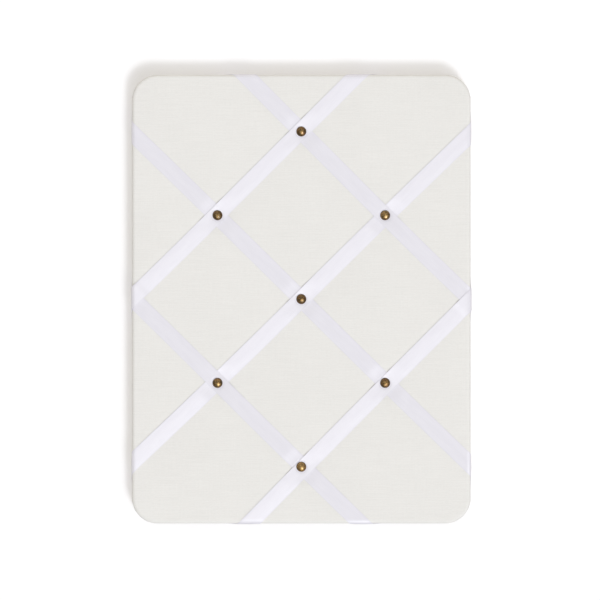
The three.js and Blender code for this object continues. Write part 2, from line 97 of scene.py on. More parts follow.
class Workpiece:
    """One mesh on the bench, started from a primitive and shaped in edit mode."""

    def __init__(
        self, name: str, primitive: Callable[..., set], scale: Place = (1.0, 1.0, 1.0), **sizes: object
    ) -> None:
        """Add the primitive, put its place into its mesh and open it for editing.

        Args:
            name: Name of the piece.
            primitive: Operator that adds the starting mesh.
            scale: Scale of the mesh along its own axes.
            **sizes: Sizes and place that the operator takes.
        """
        bpy.ops.object.select_all(action="DESELECT")
        primitive(**sizes)
        self.obj = bpy.context.object
        self.obj.name = name
        self.obj.data.name = name
        self.obj.scale = scale
        self.obj.data.transform(self.obj.matrix_basis)
        self.obj.matrix_basis = Matrix.Identity(4)
        bpy.ops.object.mode_set(mode="EDIT")
        # A bare section is swept by its edges, and the piece before may have been worked by its faces.
        bpy.ops.mesh.select_mode(type=Pick.EDGES.value)

    def pick(self, kind: Pick, test: Test) -> "Workpiece":
        """Select what passes a test of its middle and its direction.

        Args:
            kind: Whether edges or faces are selected.
            test: Takes the middle, and an edge's direction or a face's normal.

        Returns:
            The workpiece, for the next step.
        """
        bpy.ops.mesh.select_mode(type=kind.value)
        bpy.ops.mesh.select_all(action="DESELECT")
        shape = bmesh.from_edit_mesh(self.obj.data)
        shape.normal_update()
        if kind is Pick.EDGES:
            ends = [(e, e.verts[0].co, e.verts[1].co) for e in shape.edges]
            found = [(e, (a + b) / 2, (b - a).normalized()) for e, a, b in ends]
        else:
            found = [(f, f.calc_center_median(), f.normal) for f in shape.faces]
        for part, middle, way in found:
            if test(middle, way):
                part.select_set(True)
        shape.select_flush_mode()
        bmesh.update_edit_mesh(self.obj.data)
        return self

    def everything(self) -> "Workpiece":
        """Select the whole mesh."""
        bpy.ops.mesh.select_all(action="SELECT")
        return self

    def push(self, by: Place) -> "Workpiece":
        """Extrude the selection by a straight move."""
        bpy.ops.mesh.extrude_region_move(TRANSFORM_OT_translate={"value": by})
        return self

    def turn(self, angle: float, centre: Place, axis: Place, steps: int) -> "Workpiece":
        """Sweep the selection round an axis, right-handed.

        Args:
            angle: Turn in radians.
            centre: A point on the axis.
            axis: Direction of the axis.
            steps: Number of steps in the turn.

        Returns:
            The workpiece, for the next step.
        """
        bpy.ops.mesh.spin(steps=steps, angle=-angle, center=centre, axis=axis)
        return self

    def inset(self, width: float) -> "Workpiece":
        """Inset the selected faces."""
        bpy.ops.mesh.inset(thickness=width, use_even_offset=True)
        return self

    def bevel(self, width: float, segments: int) -> "Workpiece":
        """Round the selected edges."""
        bpy.ops.mesh.bevel(offset=width, segments=segments, affect="EDGES", clamp_overlap=True)
        return self

    def scale(self, by: Place, centre: Place) -> "Workpiece":
        """Scale the selection about a point."""
        bpy.ops.transform.resize(value=by, center_override=centre)
        return self

    def open_section(self) -> "Workpiece":
        """Drop the starting face and keep its edges, as a section to sweep.

        Returns:
            The workpiece, for the next step.
        """
        self.everything()
        bpy.ops.mesh.delete(type="ONLY_FACE")
        return self.everything()

    def close_ends(self) -> "Workpiece":
        """Cap the open ends of a sweep and turn its faces outwards.

        Returns:
            The workpiece, for the next step.
        """
        self.everything()
        bpy.ops.mesh.remove_doubles(threshold=1e-6)
        self.everything()
        bpy.ops.mesh.fill_holes(sides=0)
        self.everything()
        bpy.ops.mesh.normals_make_consistent(inside=False)
        return self

    def done(self, sharp: float = 40.0) -> bpy.types.Object:
        """Close the mesh's editing and shade it.

        Args:
            sharp: Edges that turn more than this many degrees stay sharp.

        Returns:
            The finished object.
        """
        bpy.ops.object.mode_set(mode="OBJECT")
        shade(self.obj, sharp)
        return self.obj


def looks_back(_middle: Vector, way: Vector) -> bool:
    """Whether a face looks to the back."""
    return way.y > STRAIGHT


def looks_ahead(_middle: Vector, way: Vector) -> bool:
    """Whether a face looks to the front."""
    return way.y < -STRAIGHT


def runs_through(_middle: Vector, way: Vector) -> bool:
    """Whether an edge runs from front to back."""
    return abs(way.y) > STRAIGHT


def shade(obj: bpy.types.Object, sharp: float) -> None:
    """Shade an object smooth, apart from its sharp edges.

    Args:
        obj: The object.
        sharp: Edges that turn more than this many degrees stay sharp.
    """
    activate(obj)
    bpy.ops.object.shade_smooth_by_angle(angle=math.radians(sharp))


def activate(obj: bpy.types.Object) -> None:
    """Make an object the only selected one.

    Args:
        obj: The object.
    """
    bpy.ops.object.select_all(action="DESELECT")
    obj.select_set(True)
    bpy.context.view_layer.objects.active = obj


def apply_modifiers(obj: bpy.types.Object) -> None:
    """Apply every modifier of an object, from first to last.

    Args:
        obj: The object.
    """
    activate(obj)
    for name in [modifier.name for modifier in obj.modifiers]:
        bpy.ops.object.modifier_apply(modifier=name)


def mesh_object(name: str, points: np.ndarray, faces: list[tuple[int, ...]]) -> bpy.types.Object:
    """Make an object from points and faces.

    Args:
        name: Name of the piece.
        points: One row of x, y and z for each point.
        faces: Point numbers of each face, counterclockwise from outside.

    Returns:
        The object, in the scene.
    """
    mesh = bpy.data.meshes.new(name)
    mesh.from_pydata(points.tolist(), [], faces)
    mesh.update()
    obj = bpy.data.objects.new(name, mesh)
    bpy.context.scene.collection.objects.link(obj)
    return obj


def lay_uv(obj: bpy.types.Object, name: str, flat: np.ndarray) -> None:
    """Give a mesh a UV map from one flat place for each point.

    Args:
        obj: The object.
        name: Name of the UV map.
        flat: One row of u and v for each point.
    """
    mesh = obj.data
    corners = np.empty(len(mesh.loops), dtype=np.int32)
    mesh.loops.foreach_get("vertex_index", corners)
    layer = mesh.uv_layers.new(name=name)
    layer.data.foreach_set("uv", np.ascontiguousarray(flat[corners], dtype=np.float32).ravel())


def points_of(mesh: bpy.types.Mesh) -> np.ndarray:
    """Read the points of a mesh.

    Args:
        mesh: The mesh.

    Returns:
        One row of x, y and z for each point.
    """
    points = np.empty(len(mesh.vertices) * 3)
    mesh.vertices.foreach_get("co", points)
    return points.reshape(-1, 3)


def copy_to(model: bpy.types.Object, name: str, place: Matrix) -> bpy.types.Object:
    """Copy a modelled piece to a place, with a mesh of its own.

    Args:
        model: The piece modelled at the origin.
        name: Name of the copy.
        place: Where the copy goes.

    Returns:
        The copy.
    """
    copied = model.copy()
    copied.data = model.data.copy()
    copied.name = name
    copied.data.name = name
    copied.data.transform(place)
    bpy.context.scene.collection.objects.link(copied)
    return copied


def discard(obj: bpy.types.Object) -> None:
    """Remove a model or cutter that isn't a piece of the board.

    Args:
        obj: The model or cutter.
    """
    mesh = obj.data
    bpy.data.objects.remove(obj)
    bpy.data.meshes.remove(mesh)


def smooth(share: np.ndarray) -> np.ndarray:
    """Ease from 0 to 1 over a share of the way."""
    t = np.clip(share, 0.0, 1.0)
    return t * t * (3.0 - 2.0 * t)


class Graph:
    """Node tree of one material, with short calls for the nodes that the finishes share."""

    def __init__(self, name: str) -> None:
        """Start a material with one shader.

        Args:
            name: Name of the material.
        """
        self.material = bpy.data.materials.new(name)
        self.material.use_nodes = True
        self.tree = self.material.node_tree
        self.shader = self.tree.nodes["Principled BSDF"]

    def add(self, kind: str, **settings: object) -> bpy.types.Node:
        """Add a node with its settings.

        Args:
            kind: Type of the node.
            **settings: Values of its own settings.

        Returns:
            The node.
        """
        node = self.tree.nodes.new(kind)
        for key, value in settings.items():
            setattr(node, key, value)
        return node

    def feed(self, source: object, target: bpy.types.NodeSocket) -> None:
        """Link a socket, or set a number, vector or colour.

        Args:
            source: The socket or value that is fed in.
            target: The socket that takes it.
        """
        if isinstance(source, bpy.types.NodeSocket):
            self.tree.links.new(source, target)
        elif isinstance(source, tuple) and len(source) == 3 and target.type == "RGBA":
            target.default_value = (*source, 1.0)
        else:
            target.default_value = source

    def place(self, scale: Place) -> bpy.types.NodeSocket:
        """Places on the object, scaled."""
        return self.stretch(self.add("ShaderNodeTexCoord").outputs["Object"], scale)

    def uv(self, name: str) -> bpy.types.NodeSocket:
        """Places on the piece's own UV map."""
        return self.add("ShaderNodeUVMap", uv_map=name).outputs["UV"]

    def carried(self, name: str) -> bpy.types.NodeSocket:
        """A value that the piece's own points carry."""
        return self.add("ShaderNodeAttribute", attribute_name=name).outputs[2]

    def stretch(self, vector: bpy.types.NodeSocket, scale: Place) -> bpy.types.NodeSocket:
        """Scale places along each axis.

        Args:
            vector: The places.
            scale: Scale along each axis.

        Returns:
            The scaled places.
        """
        node = self.add("ShaderNodeMapping")
        self.feed(vector, node.inputs["Vector"])
        node.inputs["Scale"].default_value = scale
        return node.outputs["Vector"]

    def split(self, vector: bpy.types.NodeSocket) -> list[bpy.types.NodeSocket]:
        """Split places into their parts.

        Args:
            vector: The places.

        Returns:
            The three parts.
        """
        node = self.add("ShaderNodeSeparateXYZ")
        self.feed(vector, node.inputs[0])
        return list(node.outputs)

    def sum(self, operation: str, first: object, second: object = 0.0) -> bpy.types.NodeSocket:
        """Work out one sum.

        Args:
            operation: Kind of sum.
            first: First value.
            second: Second value, where the sum takes two.

        Returns:
            The result.
        """
        node = self.add("ShaderNodeMath", operation=operation)
        self.feed(first, node.inputs[0])
        self.feed(second, node.inputs[1])
        return node.outputs[0]

    def weighed(self, first: object, share: float, second: object, rest: float) -> bpy.types.NodeSocket:
        """Two values added, each times a share of its own."""
        return self.sum("ADD", self.sum("MULTIPLY", first, share), self.sum("MULTIPLY", second, rest))

    def noise(
        self, vector: bpy.types.NodeSocket, detail: float, swirl: float = 0.0
    ) -> bpy.types.NodeSocket:
        """Noise on places that are already scaled, so that a scale is in waves for each metre.

        Args:
            vector: The places.
            detail: How many finer layers are added.
            swirl: How far the noise is drawn about.

        Returns:
            The noise, about one half.
        """
        node = self.add("ShaderNodeTexNoise")
        self.feed(vector, node.inputs["Vector"])
        node.inputs["Scale"].default_value = 1.0
        node.inputs["Detail"].default_value = detail
        node.inputs["Distortion"].default_value = swirl
        return node.outputs[0]

    def ramp(self, value: object, low: float, high: float, start: float, end: float) -> bpy.types.NodeSocket:
        """Map a value from one range to another, held at both ends.

        Args:
            value: The value.
            low: Start of its range.
            high: End of its range.
            start: Result at the start.
            end: Result at the end.

        Returns:
            The mapped value.
        """
        node = self.add("ShaderNodeMapRange", interpolation_type="SMOOTHSTEP")
        for source, socket in zip((value, low, high, start, end), node.inputs):
            self.feed(source, socket)
        return node.outputs[0]

    def mix(self, share: object, first: object, second: object) -> bpy.types.NodeSocket:
        """Mix two colours.

        Args:
            share: Share of the second colour.
            first: First colour.
            second: Second colour.

        Returns:
            The mixed colour.
        """
        # The node's colour sockets are inputs 6 and 7, and output 2.
        node = self.add("ShaderNodeMix", data_type="RGBA")
        self.feed(share, node.inputs[0])
        self.feed(first, node.inputs[6])
        self.feed(second, node.inputs[7])
        return node.outputs[2]

    def bump(self, height: object, distance: float, strength: float) -> None:
        """Raise the surface by a height.

        Args:
            height: The height, from 0 to about 1.
            distance: How high 1 is, in metres.
            strength: How much of it shows.
        """
        node = self.add("ShaderNodeBump")
        node.inputs["Strength"].default_value = strength
        node.inputs["Distance"].default_value = distance
        self.feed(height, node.inputs["Height"])
        self.feed(node.outputs[0], self.shader.inputs["Normal"])

    def surface(self, **values: object) -> bpy.types.Material:
        """Set the shader's sockets, named with underscores for spaces.

        Args:
            **values: A value or a socket for each.

        Returns:
            The finished material.
        """
        for key, value in values.items():
            self.feed(value, self.shader.inputs[key.replace("_", " ")])
        return self.material


@dataclass(frozen=True)
class WovenCotton:
    """Plain-woven cream cloth with uneven weft threads and painted shade in the gaps between them, on the
    cloth's own flat places.
    """

    thread: float = 0.00042
    relief: float = 0.00016
    light: Colour = (0.884, 0.880, 0.852)
    dark: Colour = (0.778, 0.774, 0.746)

    def make(self) -> bpy.types.Material:
        """Build the finish.

        Returns:
            The material.
        """
        graph = Graph("woven_cotton")
        flat = graph.uv("cloth")
        across, up, _ = graph.split(flat)
        warp = graph.sum("SINE", graph.sum("MULTIPLY", across, math.pi / self.thread))
        weft = graph.sum("SINE", graph.sum("MULTIPLY", up, math.pi / self.thread))
        over = graph.sum("MULTIPLY", graph.sum("MULTIPLY", warp, weft), 0.5)
        warp_top = graph.sum("MULTIPLY", graph.sum("ABSOLUTE", warp), graph.sum("ADD", over, 0.5))
        weft_top = graph.sum("MULTIPLY", graph.sum("ABSOLUTE", weft), graph.sum("SUBTRACT", 0.5, over))
        weave_and_gap_shade = graph.sum("MAXIMUM", warp_top, weft_top)
        long_slubs = graph.noise(graph.stretch(flat, (30.0, 1100.0, 1.0)), 2.0)
        short_slubs = graph.noise(graph.stretch(flat, (260.0, 1300.0, 1.0)), 2.0)
        warp_slubs = graph.noise(graph.stretch(flat, (1300.0, 40.0, 1.0)), 2.0)
        tone = graph.noise(graph.stretch(flat, (14.0, 14.0, 1.0)), 2.0)
        slubs = graph.weighed(long_slubs, 0.5, short_slubs, 0.5)
        threads = graph.weighed(slubs, 0.8, warp_slubs, 0.2)
        thread_light = graph.ramp(threads, 0.32, 0.68, 0.0, 0.5)
        # The gaps between the threads are painted darker as painted shade; the slubs and the tone are the
        # cloth's own colour.
        lit = graph.sum("ADD", graph.sum("MULTIPLY", weave_and_gap_shade, 0.45), thread_light)
        lit = graph.sum("ADD", lit, graph.ramp(tone, 0.3, 0.7, 0.0, 0.1))
        colour = graph.mix(lit, self.dark, self.light)
        height = graph.sum("ADD", weave_and_gap_shade, graph.sum("MULTIPLY", slubs, 0.6))
        graph.bump(height, self.relief, 0.4)
        rough = graph.ramp(threads, 0.3, 0.7, 0.96, 0.82)
        return graph.surface(
            Base_Color=colour,
            Roughness=rough,
            Sheen_Weight=0.25,
            Sheen_Roughness=0.4,
            Specular_IOR_Level=0.05,
        )


@dataclass(frozen=True)
class SatinRibbon:
    """White satin: long floats along the ribbon, fine ribs across and a firm selvedge."""

    width: float
    selvedge: float = 0.0007
    rib: float = 0.00055
    relief: float = 0.00005
    light: Colour = (0.856, 0.850, 0.907)
    dark: Colour = (0.787, 0.780, 0.843)

    def make(self) -> bpy.types.Material:
        """Build the finish.

        Returns:
            The material.
        """
        graph = Graph("satin_ribbon")
        flat = graph.uv("ribbon")
        across, along, _ = graph.split(flat)
        floats = graph.noise(graph.stretch(flat, (5200.0, 55.0, 1.0)), 2.0)
        ribs = graph.sum("SINE", graph.sum("MULTIPLY", along, 2.0 * math.pi / self.rib))
        cloud = graph.noise(graph.stretch(flat, (160.0, 26.0, 1.0)), 2.0)
        middle = graph.sum("ABSOLUTE", graph.sum("SUBTRACT", across, self.width / 2))
        inner = self.width / 2 - 1.5 * self.selvedge
        outer = self.width / 2 - 0.6 * self.selvedge
        edge = graph.ramp(middle, inner, outer, 0.0, 1.0)
        float_light = graph.ramp(floats, 0.3, 0.7, 0.25, 0.75)
        lit = graph.sum("ADD", float_light, graph.ramp(cloud, 0.3, 0.7, 0.0, 0.3))
        lit = graph.sum("SUBTRACT", lit, graph.sum("MULTIPLY", edge, 0.4))
        colour = graph.mix(lit, self.dark, self.light)
        fine = graph.sum("ADD", floats, graph.sum("MULTIPLY", ribs, 0.12))
        graph.bump(graph.sum("ADD", fine, graph.sum("MULTIPLY", edge, 1.2)), self.relief, 0.35)
        rough = graph.sum("ADD", graph.ramp(floats, 0.3, 0.7, 0.34, 0.46), graph.sum("MULTIPLY", edge, 0.2))
        tangent = graph.add("ShaderNodeTangent", direction_type="UV_MAP", uv_map="ribbon")
        return graph.surface(
            Base_Color=colour,
            Roughness=rough,
            Metallic=0.07,
            Specular_IOR_Level=0.5,
            Anisotropic=0.8,
            Tangent=tangent.outputs[0],
            Sheen_Weight=0.08,
        )


@dataclass(frozen=True)
class AntiqueBrass:
    """Lacquered brass with a mottled brown patina that is worn off on the crown, and painted shade that
    darkens the rim.

    Each nail's points carry its polish, from 0 for a dull head to 1 for a bright one.
    """

    bright: Colour = (0.520, 0.335, 0.124)
    brown: Colour = (0.190, 0.100, 0.038)
    olive: Colour = (0.112, 0.078, 0.032)
    dark: Colour = (0.042, 0.026, 0.014)
    edge: tuple[float, float, float, float] = (0.62, 0.46, 0.32, 1.0)
    relief: float = 0.00012

    def make(self) -> bpy.types.Material:
        """Build the finish.

        Returns:
            The material.
        """
        graph = Graph("antique_brass")
        _, rim, _ = graph.split(graph.uv("head"))
        polish = graph.carried("polish")
        cloud = graph.noise(graph.place((520.0, 520.0, 520.0)), 4.0)
        specks = graph.noise(graph.place((2600.0, 2600.0, 2600.0)), 3.0)
        blotch = graph.noise(graph.place((330.0, 330.0, 330.0)), 2.0)
        crown = graph.ramp(rim, 0.1, 0.95, 0.45, -0.12)
        rubbed = graph.sum("ADD", crown, graph.sum("MULTIPLY", polish, 0.7))
        worn = graph.sum("SUBTRACT", rubbed, graph.ramp(cloud, 0.39, 0.61, 0.0, 0.6))
        patina = graph.mix(graph.ramp(blotch, 0.42, 0.58, 0.0, 1.0), self.olive, self.brown)
        colour = graph.mix(graph.sum("MAXIMUM", worn, 0.0), patina, self.bright)
        spots = graph.ramp(specks, 0.54, 0.70, 0.0, 0.75)
        # The specks are dark stains; the darkening over the outer rim is painted shade.
        stains_and_rim_shade = graph.sum("MAXIMUM", spots, graph.ramp(rim, 0.84, 1.0, 0.0, 0.75))
        colour = graph.mix(stains_and_rim_shade, colour, self.dark)
        graph.bump(graph.sum("ADD", cloud, graph.sum("MULTIPLY", specks, 0.3)), self.relief, 0.35)
        rough = graph.ramp(specks, 0.3, 0.7, 0.34, 0.50)
        return graph.surface(
            Base_Color=colour,
            Metallic=1.0,
            Roughness=rough,
            Specular_Tint=self.edge,
            Coat_Weight=0.5,
            Coat_Roughness=0.08,
        )


@dataclass(frozen=True)
class ZincSteel:
    """Zinc-plated steel with a faint spangle and dull scuffs."""

    bright: Colour = (0.640, 0.650, 0.665)
    dull: Colour = (0.430, 0.435, 0.440)
    relief: float = 0.00003

    def make(self) -> bpy.types.Material:
        """Build the finish.

        Returns:
            The material.
        """
        graph = Graph("zinc_steel")
        spangle = graph.noise(graph.place((900.0, 900.0, 900.0)), 2.0)
        scuffs = graph.noise(graph.place((3600.0, 400.0, 3600.0)), 3.0)
        colour = graph.mix(graph.ramp(spangle, 0.35, 0.65, 0.0, 1.0), self.dull, self.bright)
        graph.bump(scuffs, self.relief, 0.3)
        rough = graph.ramp(scuffs, 0.3, 0.7, 0.24, 0.46)
        return graph.surface(Base_Color=colour, Metallic=1.0, Roughness=rough)


@dataclass(frozen=True)
class Hardboard:
    """Pressed brown hardboard with short fibres and a slight sheen."""

    light: Colour = (0.270, 0.165, 0.090)
    dark: Colour = (0.125, 0.070, 0.036)
    straw: Colour = (0.390, 0.262, 0.155)
    relief: float = 0.00015

    def make(self) -> bpy.types.Material:
        """Build the finish.

        Returns:
            The material.
        """
        graph = Graph("hardboard")
        fibres = graph.noise(graph.place((900.0, 900.0, 2600.0)), 4.0, 2.5)
        crossed = graph.noise(graph.place((2600.0, 900.0, 800.0)), 4.0, 2.5)
        cloud = graph.noise(graph.place((22.0, 22.0, 22.0)), 3.0)
        mat = graph.sum("MULTIPLY", graph.sum("ADD", fibres, crossed), 0.5)
        pressed = graph.ramp(mat, 0.42, 0.58, 0.0, 0.9)
        share = graph.sum("ADD", pressed, graph.ramp(cloud, 0.3, 0.7, -0.08, 0.14))
        colour = graph.mix(share, self.dark, self.light)
        slivers = graph.noise(graph.place((420.0, 420.0, 1500.0)), 3.0, 3.5)
        chips = graph.noise(graph.place((1500.0, 420.0, 420.0)), 3.0, 3.5)
        flecks = graph.ramp(graph.sum("MAXIMUM", slivers, chips), 0.62, 0.70, 0.0, 0.65)
        colour = graph.mix(flecks, colour, self.straw)
        graph.bump(mat, self.relief, 0.3)
        rough = graph.ramp(mat, 0.4, 0.7, 0.5, 0.72)
        return graph.surface(Base_Color=colour, Roughness=rough, Specular_IOR_Level=0.4)


@dataclass(frozen=True)
class PressedFelt:
    """Dark grey felt with a mat of fine hairs."""

    light: Colour = (0.125, 0.118, 0.108)
    dark: Colour = (0.045, 0.042, 0.038)
    relief: float = 0.0004

    def make(self) -> bpy.types.Material:
        """Build the finish.

        Returns:
            The material.
        """
        graph = Graph("pressed_felt")
        hairs = graph.noise(graph.place((2300.0, 900.0, 2300.0)), 5.0)
        lumps = graph.noise(graph.place((450.0, 450.0, 450.0)), 3.0)
        mat = graph.weighed(hairs, 0.7, lumps, 0.3)
        colour = graph.mix(graph.ramp(mat, 0.36, 0.64, 0.0, 1.0), self.dark, self.light)
        graph.bump(mat, self.relief, 0.7)
        return graph.surface(Base_Color=colour, Roughness=0.97, Sheen_Weight=0.4, Sheen_Roughness=0.6)


@dataclass(frozen=True)
class Fibreboard:
    """Pale brown fibreboard, hidden inside the padding."""

    light: Colour = (0.480, 0.330, 0.190)
    dark: Colour = (0.330, 0.215, 0.118)
    relief: float = 0.0001

    def make(self) -> bpy.types.Material:
        """Build the finish.

        Returns:
            The material.
        """
        graph = Graph("fibreboard")
        grain = graph.noise(graph.place((700.0, 1400.0, 700.0)), 4.0)
        colour = graph.mix(graph.ramp(grain, 0.35, 0.65, 0.0, 1.0), self.dark, self.light)
        graph.bump(grain, self.relief, 0.3)
        return graph.surface(Base_Color=colour, Roughness=0.85)


@dataclass(frozen=True)
class PolyesterWadding:
    """White wadding with matted fibres, hidden under the cloth."""

    light: Colour = (0.830, 0.825, 0.805)
    dark: Colour = (0.640, 0.635, 0.620)
    relief: float = 0.0008

    def make(self) -> bpy.types.Material:
        """Build the finish.

        Returns:
            The material.
        """
        graph = Graph("wadding")
        fibres = graph.noise(graph.place((300.0, 700.0, 300.0)), 5.0)
        colour = graph.mix(graph.ramp(fibres, 0.35, 0.65, 0.0, 1.0), self.dark, self.light)
        graph.bump(fibres, self.relief, 0.6)
        return graph.surface(Base_Color=colour, Roughness=1.0, Sheen_Weight=0.2)


@dataclass(frozen=True)
class BoardForm:
    """Sizes of the padded board, and the way that cloth wraps round it, from front to back."""

    width: float = 0.381
    height: float = 0.505
    corner: float = 0.0285
    front_roll: float = 0.004
    front: float = 0.0276
    core_front: float = 0.0192
    core_back: float = 0.0102
    side_padding: float = 0.0025
    fabric: float = 0.0008
    lay_gap: float = 0.0003
    flap: float = 0.022
    pitch: float = 0.09425
    tuft_depth: float = 0.0011
    tuft_floor: float = 0.00715
    tuft_ramp: float = 0.019
    press_depth: float = 0.0005
    press_floor: float = 0.005
    press_ramp: float = 0.004
    ribbon_steps: tuple[int, ...] = (-2, 0, 2)
    nail_steps: tuple[tuple[str, int, int], ...] = (
        ("top", 0, 2),
        ("upper_left", -1, 1),
        ("upper_right", 1, 1),
        ("centre", 0, 0),
        ("lower_left", -1, -1),
        ("lower_right", 1, -1),
        ("bottom", 0, -2),
    )

    @property
    def half(self) -> np.ndarray:
        """Half sizes of the part of the front that lies between the rounded corners."""
        return np.array([self.width / 2 - self.corner, self.height / 2 - self.corner])

    @property
    def back_roll(self) -> float:
        """Radius of the cloth's turn on to the back."""
        return self.fabric + self.lay_gap + self.side_padding

    @property
    def back_turn(self) -> float:
        """Depth where the cloth starts its turn on to the back."""
        return self.core_back + self.side_padding

    @property
    def flap_rear(self) -> float:
        """Depth of the rear face of the turned-over flap."""
        return self.core_back - self.lay_gap - self.fabric

    @property
    def front_arc(self) -> float:
        """Run of cloth over the rounded front edge."""
        return self.front_roll * math.pi / 2

    @property
    def side_end(self) -> float:
        """Run of cloth to the end of the side."""
        return self.front_arc + self.front - self.front_roll - self.back_turn

    @property
    def back_run(self) -> float:
        """Run of cloth to where it lies flat on the back."""
        return self.side_end + self.back_roll * math.pi / 2

    @property
    def cut_run(self) -> float:
        """Run of cloth to its cut edge."""
        return self.back_run + self.flap - self.back_roll

    @property
    def nails(self) -> dict[str, tuple[float, float]]:
        """Place of each nail on the front."""
        return {name: (across * self.pitch, up * self.pitch) for name, across, up in self.nail_steps}

    def nail_distance(self, flat: np.ndarray) -> np.ndarray:
        """Distance of flat places to the nearest nail."""
        places = np.array(list(self.nails.values()))
        return np.linalg.norm(flat[:, None, :] - places[None, :, :], axis=2).min(axis=1)

    def run_of(self, flat: np.ndarray) -> np.ndarray:
        """How far flat places lie beyond the line where the front starts to roll over."""
        out = flat - np.clip(flat, -self.half, self.half)
        return np.linalg.norm(out, axis=1) - (self.corner - self.front_roll)

    def tuft(self, flat: np.ndarray) -> np.ndarray:
        """How far the front is drawn in round the nails.

        Args:
            flat: One row of across and up for each place.

        Returns:
            One depth for each place.
        """
        away = self.nail_distance(flat)
        wide = np.clip((away - self.tuft_floor) / self.tuft_ramp, 0.0, 1.0)
        close = np.clip((away - self.press_floor) / self.press_ramp, 0.0, 1.0)
        drawn = self.tuft_depth * (1.0 + np.cos(np.pi * wide))
        pressed = self.press_depth * (1.0 + np.cos(np.pi * close))
        return (drawn + pressed) / 2

    def section(self, run: np.ndarray, lift: np.ndarray) -> tuple[np.ndarray, np.ndarray]:
        """Inset from the edge and depth of cloth that has run round the edge.

        Args:
            run: Runs of the cloth.
            lift: How far each place lies off the cloth's outer face.

        Returns:
            Insets and depths.
        """
        front_angle = run / self.front_roll
        back_angle = (run - self.side_end) / self.back_roll
        where = [run <= self.front_arc, run <= self.side_end, run <= self.back_run]
        inset = np.select(
            where,
            [
                self.front_roll - (self.front_roll + lift) * np.sin(front_angle),
                -lift,
                self.back_roll - (self.back_roll + lift) * np.cos(back_angle),
            ],
            self.back_roll + run - self.back_run,
        )
        depth = np.select(
            where,
            [
                self.front - self.front_roll + (self.front_roll + lift) * np.cos(front_angle),
                self.front - self.front_roll - (run - self.front_arc),
                self.back_turn - (self.back_roll + lift) * np.sin(back_angle),
            ],
            self.flap_rear - lift,
        )
        return inset, depth

    def wrap(self, flat: np.ndarray, lift: np.ndarray) -> np.ndarray:
        """Wrap flat places of the cloth round the board.

        Args:
            flat: One row of across and up for each place.
            lift: How far each place lies off the cloth's outer face.

        Returns:
            One row of x, y and z for each place.
        """
        # Cloth runs straight out from the nearest point between the corners' centres.
        near = np.clip(flat, -self.half, self.half)
        out = flat - near
        reach = np.linalg.norm(out, axis=1)
        run = reach - (self.corner - self.front_roll)
        inset, depth = self.section(run, lift)
        on_front = run <= 0
        depth = np.where(on_front, self.front - self.tuft(flat) + lift, depth)
        way = out / np.maximum(reach, 1e-9)[:, None]
        rolled = near + way * (self.corner - inset)[:, None]
        place = np.where(on_front[:, None], flat, rolled)
        return np.column_stack([place[:, 0], -depth, place[:, 1]])


@dataclass(frozen=True)
class ClothPattern:
    """Grid of a flat cloth: even squares in the middle, then rings out to its edge."""

    form: BoardForm
    square: float
    runs: tuple[float, ...]
    corner_steps: int = 12

    def rim(self, across: int, up: int) -> list[tuple[int, int, float]]:
        """The squares' outer points, counterclockwise, each with its way out.

        Args:
            across: Number of squares across.
            up: Number of squares up.

        Returns:
            Column, row and angle of each point.
        """
        quarter = [math.pi / 2 * i / self.corner_steps for i in range(1, self.corner_steps)]
        points = [(across, row, 0.0) for row in range(up + 1)]
        points += [(across, up, angle) for angle in quarter]
        points += [(column, up, math.pi / 2) for column in range(across, -1, -1)]
        points += [(0, up, math.pi / 2 + angle) for angle in quarter]
        points += [(0, row, math.pi) for row in range(up, -1, -1)]
        points += [(0, 0, math.pi + angle) for angle in quarter]
        points += [(column, 0, 1.5 * math.pi) for column in range(across + 1)]
        points += [(across, 0, 1.5 * math.pi + angle) for angle in quarter]
        return points

    def lay(self) -> tuple[np.ndarray, list[tuple[int, ...]]]:
        """Lay the pattern out flat.

        Returns:
            Flat places, and the point numbers of each face.
        """
        half = self.form.half
        across, up = (int(round(2 * side / self.square)) for side in half)
        columns = np.linspace(-half[0], half[0], across + 1)
        rows = np.linspace(-half[1], half[1], up + 1)
        flat = [np.column_stack([np.tile(columns, up + 1), np.repeat(rows, across + 1)])]
        faces: list[tuple[int, ...]] = []
        wide = across + 1
        for row in range(up):
            for column in range(across):
                first = row * wide + column
                faces.append((first, first + 1, first + wide + 1, first + wide))
        rim = self.rim(across, up)
        near = np.array([[columns[column], rows[row]] for column, row, _ in rim])
        way = np.array([[math.cos(angle), math.sin(angle)] for _, _, angle in rim])
        inner = [row * wide + column for column, row, _ in rim]
        count = wide * (up + 1)
        # Each ring joins the one inside it, with triangles round a corner's centre.
        for run in self.runs:
            flat.append(near + way * (self.form.corner - self.form.front_roll + run))
            outer = list(range(count, count + len(rim)))
            count += len(rim)
            for i in range(len(rim)):
                j = (i + 1) % len(rim)
                ring = (inner[i], outer[i], outer[j], inner[j])
                faces.append(ring if inner[i] != inner[j] else ring[:3])
            inner = outer
        return np.vstack(flat), faces


